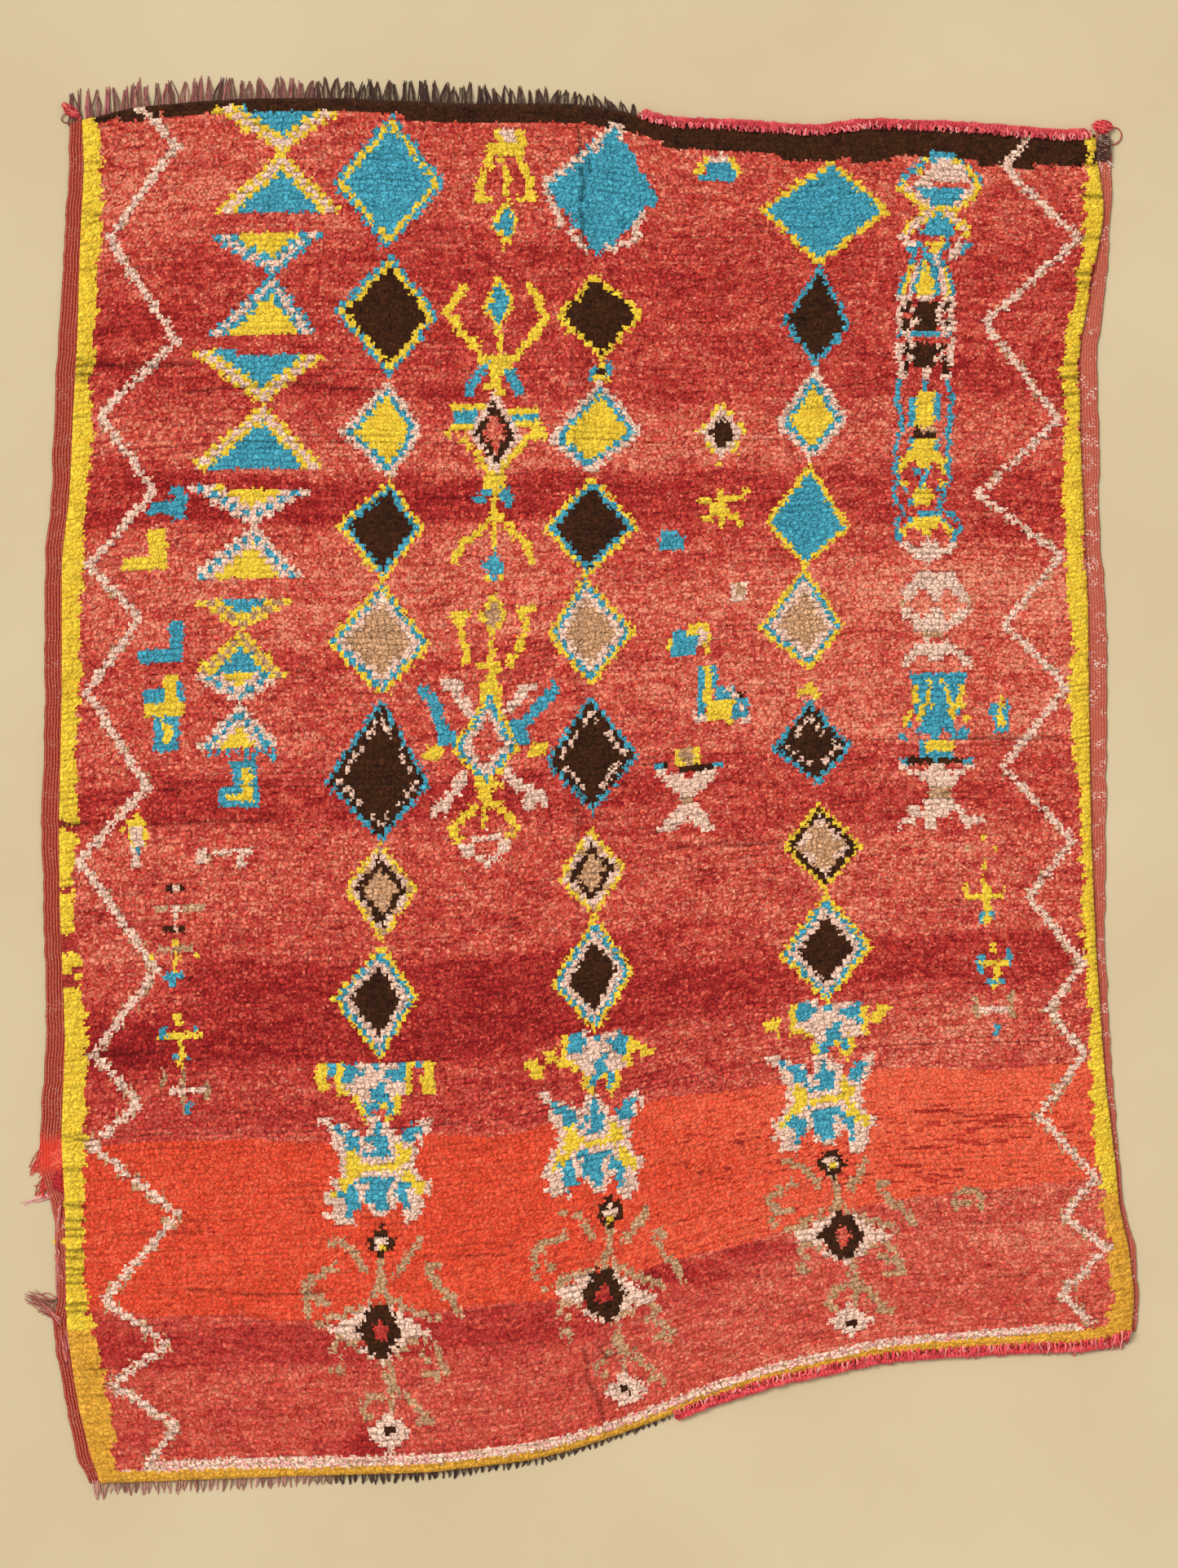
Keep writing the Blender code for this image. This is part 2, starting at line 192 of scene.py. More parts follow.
# The long sides, from top to bottom, in mm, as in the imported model.
LEFT_SIDE = (
    # height, selvage edge, pile edge
    (982, -750, -731), (916, -751, -727), (800, -757, -733), (659, -767, -737), (558, -772, -743),
    (433, -776, -748), (337, -786, -760), (136, -786, -760), (-56, -791, -764), (-170, -788, -763),
    (-372, -784, -755), (-518, -794, -761), (-586, -790, -757), (-614, -773, -755), (-746, -765, -754),
    (-799, -775, -752), (-899, -757, -738), (-997, -738, -714), (-1024, -716, -700),
)
RIGHT_SIDE = (
    # height, selvage edge, pile edge
    (968, 784, 761), (916, 787, 766), (856, 786, 776), (773, 780, 761), (704, 774, 748),
    (654, 764, 738), (503, 769, 740), (392, 767, 745), (269, 779, 751), (150, 779, 752),
    (-56, 778, 755), (-206, 776, 761), (-331, 782, 769), (-427, 788, 776), (-540, 797, 790),
    (-618, 804, 797), (-665, 822, 810), (-715, 824, 816), (-756, 827, 820), (-797, 820, 814),
)

# The two ends, from left to right, in mm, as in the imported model.
TOP_END = (
    # across, height
    (-750, 982), (-710, 990), (-658, 1004), (-562, 1013), (-466, 1018), (-347, 1018), (-170, 1010),
    (-10, 1010), (40, 1004), (88, 994), (126, 980), (222, 976), (350, 967), (427, 978), (565, 972),
    (635, 967), (718, 959), (784, 968),
)
BOTTOM_END = (
    # across, height
    (-716, -1024), (-606, -1020), (-445, -1014), (-210, -1007), (-137, -998), (-71, -990), (-22, -979),
    (52, -955), (126, -928), (174, -907), (289, -870), (445, -836), (517, -829), (683, -820),
    (766, -817), (820, -797),
)


def straight(table, at, value=1):
    """A table's column, read straight between its rows."""
    rows = np.array(table, float)
    return np.interp(at, rows[:, 0], rows[:, value])


def read(table, at, value=1, ease=CORNER_EASE):
    """A table's column in metres, read straight between its rows, then the mean of five readings
    spread evenly over `ease` mm to either side, which rounds its corners."""
    steps = [straight(sorted(table), at / MM + ease * k / 2, value) for k in range(-2, 3)]
    return sum(steps) / 5 * MM


def cloth(s, t):
    """The point at shares s across and t up the cloth, a Coons patch: the blend of the two sides
    plus the blend of the two ends, less the blend of the four corners that both hold."""
    low_left, low_right = np.array(BOTTOM_END[0]) * MM, np.array(BOTTOM_END[-1]) * MM
    high_left, high_right = np.array(TOP_END[0]) * MM, np.array(TOP_END[-1]) * MM
    left_y = low_left[1] + (high_left[1] - low_left[1]) * t
    right_y = low_right[1] + (high_right[1] - low_right[1]) * t
    low_x = low_left[0] + (low_right[0] - low_left[0]) * s
    high_x = high_left[0] + (high_right[0] - high_left[0]) * s
    sides = ((read(LEFT_SIDE, left_y), read(RIGHT_SIDE, right_y)), (left_y, right_y))
    ends = ((low_x, high_x), (read(BOTTOM_END, low_x), read(TOP_END, high_x)))
    point = []
    for k in (0, 1):
        flat = (1 - t) * ((1 - s) * low_left[k] + s * low_right[k])
        flat = flat + t * ((1 - s) * high_left[k] + s * high_right[k])
        across = (1 - s) * sides[k][0] + s * sides[k][1]
        up = (1 - t) * ends[k][0] + t * ends[k][1]
        point.append(across + up - flat)
    return point


def pile_shares(t):
    """The shares across the cloth at which the pile starts and ends, on the row at share t."""
    left_x, left_y = cloth(0.0, t)
    right_x, right_y = cloth(1.0, t)
    start = (read(LEFT_SIDE, left_y, 2) - left_x) / (right_x - left_x)
    stop = (read(RIGHT_SIDE, right_y, 2) - left_x) / (right_x - left_x)
    return start, stop


def cloud(x, y, wide, high, seed):
    """Soft random patches of wide by high metres, from -1 to 1: seeded values on a lattice, blended
    across each cell by 3k^2 - 2k^3."""
    column, row = (x + 1.2) / wide, (y + 1.2) / high
    i, j = np.floor(column).astype(int), np.floor(row).astype(int)
    values = np.random.default_rng(seed).uniform(-1, 1, (j.max() + 2, i.max() + 2))
    a, b = column - i, row - j
    a, b = a * a * (3 - 2 * a), b * b * (3 - 2 * b)
    low = values[j, i] * (1 - a) + values[j, i + 1] * a
    high_side = values[j + 1, i] * (1 - a) + values[j + 1, i + 1] * a
    return low * (1 - b) + high_side * b


def grid_faces(rows, columns, first=0):
    """The corners of each face of a grid of points, turning left as seen from above."""
    at = first + np.arange(rows * columns).reshape(rows, columns)
    return np.stack((at[:-1, :-1], at[:-1, 1:], at[1:, 1:], at[1:, :-1]), -1).reshape(-1, 4)


def rim(rows, columns, first=0):
    """The points round a grid's edge, turning left as seen from above."""
    at = first + np.arange(rows * columns).reshape(rows, columns)
    return np.concatenate((at[0, :-1], at[:-1, -1], at[-1, :0:-1], at[:0:-1, 0]))


def skirt(upper, lower):
    """The faces between one closed rim and the same rim lower down, facing outwards."""
    return np.stack((upper, lower, np.roll(lower, -1), np.roll(upper, -1)), -1)


def new_piece(name, points, faces, material, replaced):
    """A mesh object at the origin from its points and its lists of faces, which rides on the rug."""
    corners = np.concatenate([np.ravel(group) for group in faces]).astype(np.int32)
    sizes = np.concatenate([np.full(len(group), group.shape[1]) for group in faces])
    mesh = bpy.data.meshes.new(name)
    mesh.vertices.add(len(points))
    mesh.vertices.foreach_set("co", np.ascontiguousarray(points, np.float32).ravel())
    mesh.loops.add(len(corners))
    mesh.loops.foreach_set("vertex_index", corners)
    mesh.polygons.add(len(sizes))
    mesh.polygons.foreach_set("loop_start", (np.cumsum(sizes) - sizes).astype(np.int32))
    mesh.update(calc_edges=True)
    mesh.materials.append(material)
    made = bpy.data.objects.new(name, mesh)
    bpy.context.scene.collection.objects.link(made)
    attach(made, "root")
    if replaced:
        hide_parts(replaced)
    return made


def dye_faces(made, colours):
    """Keeps one linear colour for each face of a piece, as its own attribute."""
    kept = made.data.attributes.new("dye", "FLOAT_COLOR", "FACE")
    whole = np.ones((len(colours), 4), np.float32)
    whole[:, :3] = colours
    kept.data.foreach_set("color", whole.ravel())


def mark(made, name, values, domain="POINT"):
    """Keeps one number for each point or face of a piece, as its own attribute."""
    kept = made.data.attributes.new(name, "FLOAT", domain)
    kept.data.foreach_set("value", np.ravel(values).astype(np.float32))


def lay_map(made, name, places):
    """A UV map of a piece, which gives every corner of its faces the place of its point."""
    corners = np.empty(len(made.data.loops), np.int32)
    made.data.loops.foreach_get("vertex_index", corners)
    layer = made.data.uv_layers.new(name=name)
    layer.data.foreach_set("uv", places.astype(np.float32)[corners].ravel())


# The shares across of the ground's columns, row by row: selvage, knots, selvage
ground_t = np.linspace(0.0, 1.0, KNOT_ROWS + 1)[:, None]
start, stop = pile_shares(ground_t)
in_selvage = np.linspace(0.0, 1.0, SELVAGE_COLUMNS + 1)[None, :]
in_pile = np.linspace(0.0, 1.0, KNOT_COLUMNS + 1)[None, 1:-1]
ground_s = np.hstack((start * in_selvage, start + (stop - start) * in_pile, stop + (1 - stop) * in_selvage))
ground_x, ground_y = cloth(ground_s, np.broadcast_to(ground_t, ground_s.shape))

# Height: ribs of |sin| across the selvages, which fall to the outer rim, and a level middle
rib = np.abs(np.sin(np.pi * RIBS * in_selvage))
worn = 0.35 * MM * cloud(ground_x, ground_y, 0.03, 0.02, 11)
left_rise = SELVAGE_RIM_TOP + (SELVAGE_TOP - SELVAGE_RIM_TOP) * np.minimum(1, in_selvage * 4)
left_rise = left_rise + RIB_RISE * (rib - 0.5)
ground_z = np.full(ground_s.shape, GROUND_TOP)
ground_z[:, : SELVAGE_COLUMNS + 1] = left_rise
ground_z[:, -SELVAGE_COLUMNS - 1 :] = left_rise[:, ::-1]
ground_z += worn * (ground_z > GROUND_TOP)

# The torn outer edge: each row's rim is drawn in or out a little
frayed = 1.6 * MM * cloud(ground_x, ground_y, 0.5, 0.016, 12)
edge_pull = np.zeros(ground_s.shape)
edge_pull[:, : SELVAGE_COLUMNS + 1] = (1 - in_selvage) ** 2
edge_pull[:, -SELVAGE_COLUMNS - 1 :] = -(in_selvage**2)
ground_x = ground_x + frayed * edge_pull

ground_rows, ground_columns = ground_s.shape
upper = np.stack((ground_x, ground_y, ground_z), -1).reshape(-1, 3)
under = upper * (1.0, 1.0, 0.0)
points = np.vstack((upper, under))
upper_rim = rim(ground_rows, ground_columns)
under_faces = grid_faces(ground_rows, ground_columns, len(upper))[:, ::-1]
ground_faces = [
    grid_faces(ground_rows, ground_columns),
    under_faces,
    skirt(upper_rim, upper_rim + len(upper)),
]

# Wool cords under a packed weft: matt dark red, ribbed lengthways, with painted shade in the valleys
# between cords and a painted highlight along each cord's crest. Where it has worn at the right, the pale
# warp shows through in specks.
corded, tree = new_material("corded_wool_selvage")


def of(tree, operation, *values):
    """Values put through one sum."""
    return add(tree, "ShaderNodeMath", dict(enumerate(values)), operation=operation).outputs[0]


def ranged(tree, value, low, high, to_low, to_high):
    """A value drawn out from low..high to to_low..to_high, and held there."""
    sockets = {"Value": value, "From Min": low, "From Max": high, "To Min": to_low, "To Max": to_high}
    return add(tree, "ShaderNodeMapRange", sockets).outputs["Result"]


def scaled(tree, place, across, up):
    """A map's place, scaled across and up."""
    return add(tree, "ShaderNodeMapping", {"Vector": place, "Scale": (across, up, 1.0)}).outputs["Vector"]


def stored(tree, name, socket="Fac"):
    """An attribute that the piece carries."""
    return add(tree, "ShaderNodeAttribute", attribute_name=name).outputs[socket]


weave = add(tree, "ShaderNodeUVMap", uv_map="weave").outputs["UV"]
bare = stored(tree, "bare")
cords = add(tree, "ShaderNodeSeparateXYZ", {"Vector": weave}).outputs["X"]
# Painted shade in the valleys between cords and a painted highlight on each crest: the ramp runs from
# near-black red in the valleys to pale red on the crests, shifted by the weft's own streaks
crest = of(tree, "ABSOLUTE", of(tree, "SINE", of(tree, "MULTIPLY", cords, math.pi)))
streak = noise(tree, scaled(tree, weave, 1.1, 420.0), 1.0)
cord_shade_and_streaks = of(tree, "ADD", crest, ranged(tree, streak, 0.3, 0.7, -0.22, 0.22))
cord_shade_ramp = add(tree, "ShaderNodeValToRGB", {"Fac": cord_shade_and_streaks})
stops = cord_shade_ramp.color_ramp.elements
stops.new(0.5)
stops.new(0.82)
cord_shade_colours = ((0.05, "#3C0A0A"), (0.5, "#8C261E"), (0.82, "#A83B2D"), (1.0, "#BC6148"))
for stop_here, (position, code) in zip(stops, cord_shade_colours):
    stop_here.position = position
    stop_here.color = paint(code)
paler = mixed(tree, of(tree, "MULTIPLY", bare, 0.42), cord_shade_ramp.outputs["Color"], paint("#D9765F"))
warps = scaled(tree, weave, 1.0, 400.0)
specks = add(tree, "ShaderNodeTexVoronoi", {"Vector": warps, "Scale": 1.0}).outputs["Distance"]
worn_here = ranged(tree, noise(tree, scaled(tree, weave, 0.12, 42.0), 1.0, 1.0), 0.5, 0.62, 0.1, 1.0)
speck_cover = of(tree, "MULTIPLY", ranged(tree, specks, 0.42, 0.26, 0.0, 1.0), bare)
speck_cover = of(tree, "MULTIPLY", speck_cover, worn_here)
with_specks = mixed(tree, speck_cover, paler, paint("#F0DACE"))
coat(
    tree,
    mixed(tree, stored(tree, "loose_red"), with_specks, paint("#D5402E")),
    {"Roughness": 0.92, "Specular IOR Level": 0.1, "Sheen Weight": 0.05},
    of(tree, "ADD", crest, streak),
)

ground = new_piece("woven_ground", points, ground_faces, corded, "rug_body")

# The weave's own map: cords in from the nearer side, and metres up. The right side's are finer.
LEFT_CORD, RIGHT_CORD = 4.4 * MM, 4.0 * MM
in_left, in_right = (ground_x - ground_x[:, :1]) / LEFT_CORD, (ground_x[:, -1:] - ground_x) / RIGHT_CORD
at_left = ground_s < 0.5
weave_place = np.stack((np.where(at_left, in_left, in_right), ground_y), -1)
lay_map(ground, "weave", np.tile(weave_place.reshape(-1, 2), (2, 1)))

# How bare it is worn: all down the right, and over the torn stretch of the left, above which
# loose bright red wool covers it
torn = np.clip(1 - np.abs(ground_y + 0.66) / 0.10, 0, 1) ** 0.5
mark(ground, "bare", np.tile(np.where(at_left, 0.16 + 0.5 * torn, 0.95).ravel(), 2))
red_there = np.clip(1.6 - np.abs(ground_y + 0.540) / 0.022, 0, 1) * at_left
mark(ground, "loose_red", np.tile(red_there.ravel(), 2))

# The knots
# Two-ply wool looped on the warps, row on row, each knot about 10 by 8 mm with its cut ends
# splayed into a dense soft pile. The weaver changed dyes knot by knot, from memory.
ENDS = 3  # faces across and up each knot, about one to a cut end
PILE_TOP = 12.0 * MM
PILE_SHOULDER = 8.0 * MM
SHOULDER_RUN = 8.0 * MM
FOLD_RISE = 6.0 * MM
FOLD_HALF_WIDTH = 14.0 * MM
WAVE_RISE = 0.9 * MM
ROW_GROOVE = 1.5 * MM
WARP_GROOVE = 0.5 * MM
FOLD_LINE = (
    # height, across
    (980, 8), (790, 6), (400, -10), (0, -12), (-400, 0), (-820, 14), (-960, 40),
)

up = KNOT_ROWS * ENDS + 1
along = KNOT_COLUMNS * ENDS + 1
share_up = np.linspace(0.0, 1.0, up)[:, None]
share_along = np.linspace(0.0, 1.0, along)[None, :]

# Rows were beaten down by hand, so they wave by up to a third of a knot
wave = cloud(share_along * 1.6 - 0.8, share_up * 2.0 - 1.0, 0.11, 0.05, 21)
beaten = share_up + 0.0011 * wave * np.sin(np.pi * share_up)
start, stop = pile_shares(beaten)
x, y = cloth(start + (stop - start) * share_along, beaten)

face_x = (x[:-1, :-1] + x[1:, :-1] + x[:-1, 1:] + x[1:, 1:]) / 4
face_y = (y[:-1, :-1] + y[1:, :-1] + y[:-1, 1:] + y[1:, 1:]) / 4

# The pattern is drawn on the middle of each row of knots, in the photograph's pixels
row_x, row_y = face_x[1::ENDS], face_y[1::ENDS]
hand = np.random.default_rng(5)
row_slip = hand.normal(0.0, 1.1, (KNOT_ROWS, 1))
across = row_x / PIXEL + ORIGIN_ACROSS + row_slip
down = ORIGIN_DOWN - row_y / PIXEL
row_number = np.broadcast_to(np.arange(KNOT_ROWS)[:, None], across.shape)
DYES = "RWYMTBCKPD"  # field red, white, yellow, mustard, teal, brown, camel, beige, pink, deep red
knots = np.zeros(across.shape, int)

# How wide a single line of knots of each dye lies, in pixels, square to the line
LINE_WIDE = {"V": 3.6, "W": 7.0, "Y": 5.0, "T": 4.7, "B": 6.2, "K": 6.0, "R": 6.0, "C": 7.0}


def fill(inside, dye):
    """Knots of one dye wherever inside is true."""
    knots[inside] = DYES.index(dye)


def box(dye, left, right, top, bottom):
    """A block of knots between four pixel lines."""
    fill((across >= left) & (across <= right) & (down >= top) & (down <= bottom), dye)


def wedge(dye, top, bottom, *corners):
    """Knots between two slanting sides: x runs straight from the first pair of corners, at the
    height top, to the second pair, at bottom."""
    part = (down - top) / (bottom - top)
    left = corners[0] + (corners[2] - corners[0]) * part
    right = corners[1] + (corners[3] - corners[1]) * part
    fill((part >= 0) & (part <= 1) & (across >= left) & (across <= right), dye)


def off_line(points, x=across, y=down):
    """Distance in pixels from a line of straight runs: |p - a - k (b - a)| with k kept in 0..1."""
    nearest = np.full(x.shape, 1e9)
    for (ax, ay), (bx, by) in zip(points, points[1:]):
        run = (bx - ax) ** 2 + (by - ay) ** 2
        k = np.clip(((x - ax) * (bx - ax) + (y - ay) * (by - ay)) / run, 0, 1)
        nearest = np.minimum(nearest, np.hypot(x - ax - k * (bx - ax), y - ay - k * (by - ay)))
    return nearest


def stroke(dye, wide, *points):
    """A line of knots, wide pixels across."""
    fill(off_line(points) <= wide / 2, dye)


def inside_of(corners):
    """How far inside a convex outline each knot lies: the least distance to its sides, in pixels."""
    deepest = np.full(across.shape, 1e9)
    for (ax, ay), (bx, by) in zip(corners, corners[1:] + corners[:1]):
        away = ((bx - ax) * (down - ay) - (by - ay) * (across - ax)) / math.hypot(bx - ax, by - ay)
        deepest = np.minimum(deepest, away)
    return deepest


def ringed(deep, rings, body, whole):
    """Rings of single knots from the outline inwards, then the body. A small letter is a dotted
    ring, which skips every third row, and shows the body there unless it is the outermost. The
    letter v is a dotted ring of thin white."""
    at = 0.0
    for place, ring in enumerate(rings):
        wide = LINE_WIDE[ring.upper()]
        shown = whole & (deep >= at - 1.0) & (deep < at + wide)
        if ring.islower():
            if place > 0:
                fill(shown, body)
            shown = shown & ((row_number + place) % (5 if ring == "v" else 3) != 0)
        fill(shown, ring.upper().replace("V", "W"))
        at += wide
    fill(whole & (deep >= at), body)


def lozenge(top, left, right, bottom, rings, body):
    """A lozenge through four corners, ringed and filled."""
    deep = inside_of([top, right, bottom, left])
    ringed(deep, rings, body, deep >= -1.0)


def chart(left, top, rows, wide=8.6, high=8.1, lean=0.0):
    """A small figure from a chart, one letter for a knot; a full stop leaves the ground."""
    for k, row in enumerate(rows.split()):
        for place, dye in enumerate(row):
            if dye != ".":
                x0 = left + place * wide + lean * k
                box(dye, x0, x0 + wide, top + k * high, top + (k + 1) * high)


# The dark band across the top, down to an uneven lower edge
DARK_BAND = (
    # across, lower edge
    (60, 152), (120, 150), (161, 146), (198, 140), (295, 140), (388, 134), (434, 138), (487, 143),
    (554, 150), (701, 151), (755, 155), (800, 167), (814, 178), (867, 187), (947, 191), (1001, 199),
    (1081, 195), (1135, 193), (1192, 198), (1224, 205), (1400, 205),
)
fill(down < straight(DARK_BAND, across), "B")

# The yellow stripes beside the selvages, each edge at its height, and what is worn out of them
LEFT_STRIPE = (
    # down, outer edge, inner edge
    (120, 92, 116), (148, 94, 118), (205, 98, 125), (264, 98, 125), (301, 94, 123), (355, 94, 119),
    (405, 89, 116), (469, 83, 112), (549, 83, 114), (591, 82, 110), (657, 75, 105), (703, 70, 101),
    (763, 70, 99), (878, 70, 97), (958, 68, 93), (1004, 66, 97), (1073, 70, 90), (1133, 70, 91),
    (1221, 73, 101), (1255, 73, 106), (1301, 76, 108), (1335, 76, 106), (1377, 75, 101),
    (1404, 72, 105), (1496, 74, 103), (1533, 74, 101), (1576, 74, 104), (1625, 74, 115),
    (1665, 82, 121), (1726, 88, 135), (1763, 98, 138), (1809, 112, 142), (1830, 112, 150),
)
RIGHT_STRIPE = (
    # down, inner edge, outer edge
    (160, 1329, 1342), (198, 1331, 1343), (206, 1335, 1348), (222, 1334, 1353), (240, 1331, 1354),
    (272, 1331, 1357), (292, 1328, 1351), (318, 1325, 1346), (332, 1323, 1338), (370, 1317, 1336),
    (400, 1309, 1329), (420, 1305, 1325), (450, 1305, 1321), (480, 1305, 1324), (520, 1306, 1325),
    (607, 1306, 1335), (675, 1306, 1328), (744, 1310, 1339), (793, 1316, 1343), (843, 1313, 1340),
    (901, 1313, 1338), (942, 1319, 1341), (981, 1324, 1340), (1061, 1328, 1343), (1120, 1325, 1346),
    (1198, 1333, 1351), (1244, 1336, 1354), (1278, 1335, 1356), (1324, 1339, 1359), (1370, 1339, 1369),
    (1421, 1344, 1374), (1460, 1355, 1376), (1483, 1351, 1380), (1522, 1358, 1390), (1564, 1361, 1396),
    (1598, 1364, 1400), (1640, 1352, 1400),
)
LEFT_WORN = ((1009, 1017), (1143, 1173), (1184, 1191), (1199, 1211), (1092, 1096))
LEFT_MUSTARD_FROM, RIGHT_MUSTARD_FROM = 1630, 1463

ragged = hand.normal(0, 2.2, (KNOT_ROWS, 1))
on_left = (across >= straight(LEFT_STRIPE, down) - 12) & (across <= straight(LEFT_STRIPE, down, 2) + ragged)
on_left &= down > 146
fill(on_left, "Y")
fill(on_left & (down > LEFT_MUSTARD_FROM), "M")
for gap_top, gap_bottom in LEFT_WORN:
    fill(on_left & (down > gap_top) & (down < gap_bottom), "D")
on_right = (across >= straight(RIGHT_STRIPE, down) + ragged) & (across <= straight(RIGHT_STRIPE, down, 2))
fill(on_right & (down > 166), "Y")
fill(on_right & (down > RIGHT_MUSTARD_FROM), "M")

# The two zigzags, a single line of thick white knots each, with a few tan ones beside it
LEFT_ZIGZAG = (
    (168, 132), (191, 150), (216, 178), (135, 293), (216, 417), (122, 510), (189, 602), (110, 694),
    (171, 758), (107, 850), (181, 964), (97, 1055), (192, 1191), (115, 1294), (172, 1353), (111, 1406),
    (217, 1489), (127, 1596), (206, 1649), (138, 1698), (217, 1750), (183, 1795),
)
RIGHT_ZIGZAG = (
    (1261, 168), (1232, 205), (1323, 293), (1208, 395), (1298, 514), (1201, 607), (1303, 682),
    (1231, 765), (1309, 843), (1230, 942), (1315, 1030), (1261, 1100), (1329, 1182), (1286, 1240),
    (1329, 1292), (1274, 1370), (1343, 1445), (1305, 1492), (1356, 1531), (1303, 1589), (1340, 1625),
)
flecked = hand.random(across.shape) < 0.08 + 0.2 * (down > 1150)
for zigzag, half_wide in ((LEFT_ZIGZAG, 4.8 - 0.7 * (down > 1190)), (RIGHT_ZIGZAG, 3.9)):
    from_zigzag = off_line(zigzag)
    fill((from_zigzag < 8.5) & flecked, "K")
    fill(from_zigzag <= half_wide, "W")

# The hourglasses down the left: two triangles that meet, with banded arms
HOURGLASSES = (
    # top height and ends, waist, bottom height and ends, bands of the arms, triangles
    (136, 266, 416, 347, 187, 261, 262, 419, "YWY", "T"),
    (292, 263, 390, 334, 337, 411, 257, 390, "TWT", "Y"),
    (435, 237, 400, 323, 496, 572, 232, 395, "YWY", "T"),
    (600, 233, 384, 311, 644, 705, 238, 369, "WTW", "Y"),
    (738, 240, 357, 297, 772, 826, 240, 349, "YKY", "T"),
    (832, 242, 343, 294, 864, 914, 246, 342, "WTW", "Y"),
)
for high, high_left, high_right, waist_x, waist_y, low, low_left, low_right, bands, body in HOURGLASSES:
    for base, left, right in ((high, high_left, high_right), (low, low_left, low_right)):
        corners = [(left, base), (right, base), (waist_x, waist_y)]
        if base > waist_y:
            corners.reverse()
        slope_deep = np.full(across.shape, 1e9)
        for end in (left, right):
            reach = math.hypot(end - waist_x, base - waist_y)
            off = ((end - waist_x) * (down - waist_y) - (base - waist_y) * (across - waist_x)) / reach
            off *= math.copysign(1.0, (end - waist_x)) * math.copysign(1.0, (base - waist_y))
            slope_deep = np.minimum(slope_deep, off)
        held = (down >= min(base, waist_y) - 3) & (down <= max(base, waist_y) + 3)
        ringed(slope_deep, bands, body, held & (slope_deep >= -2.0))
for k in range(8):
    box("T", 252 + 11.5 * k, 258 + 11.5 * k, 917, 930 if k % 3 else 925)

# The small figures at the far left
for block in (
    ("T", 212, 229, 601, 622), ("T", 184, 229, 618, 635), ("Y", 180, 203, 649, 666),
    ("Y", 184, 206, 664, 684), ("Y", 152, 206, 682, 701), ("T", 208, 224, 758, 800),
    ("T", 169, 222, 798, 816), ("T", 175, 202, 845, 872), ("Y", 202, 220, 831, 864),
    ("T", 217, 226, 832, 870), ("Y", 177, 226, 863, 882), ("T", 188, 219, 882, 923),
    ("Y", 199, 211, 884, 914), ("T", 286, 317, 935, 991), ("T", 267, 300, 964, 991),
    ("Y", 296, 309, 940, 984), ("Y", 276, 309, 971, 984), ("Y", 164, 172, 996, 1004),
    ("Y", 157, 179, 1004, 1037), ("W", 160, 174, 1013, 1045), ("Y", 148, 155, 1017, 1025),
    ("Y", 176, 182, 1024, 1032), ("T", 165, 171, 1038, 1044), ("W", 163, 172, 1045, 1061),
    ("W", 242, 255, 1041, 1058), ("W", 262, 284, 1041, 1050), ("K", 256, 262, 1052, 1060),
    ("W", 286, 309, 1040, 1050), ("W", 292, 302, 1048, 1065), ("B", 202, 227, 1086, 1094),
    ("B", 202, 227, 1133, 1141), ("W", 209, 219, 1110, 1120), ("W", 211, 219, 1086, 1094),
    ("W", 211, 219, 1133, 1141), ("K", 178, 206, 1110, 1116), ("K", 222, 252, 1110, 1116),
    ("W", 211, 217, 1122, 1131), ("Y", 212, 218, 1150, 1201), ("Y", 183, 189, 1168, 1177),
    ("Y", 239, 245, 1166, 1175), ("K", 192, 238, 1163, 1171), ("T", 202, 225, 1193, 1202),
    ("T", 208, 216, 1201, 1210), ("Y", 214, 223, 1242, 1255), ("Y", 192, 250, 1267, 1273),
    ("T", 196, 203, 1257, 1273), ("T", 238, 245, 1256, 1268), ("Y", 220, 225, 1267, 1293),
    ("T", 212, 221, 1292, 1300), ("T", 225, 234, 1292, 1300), ("Y", 219, 227, 1295, 1307),
    ("K", 199, 205, 1311, 1333), ("K", 223, 230, 1309, 1371), ("K", 252, 259, 1324, 1347),
    ("W", 204, 254, 1333, 1340), ("T", 227, 234, 1355, 1367),
):
    box(*block)

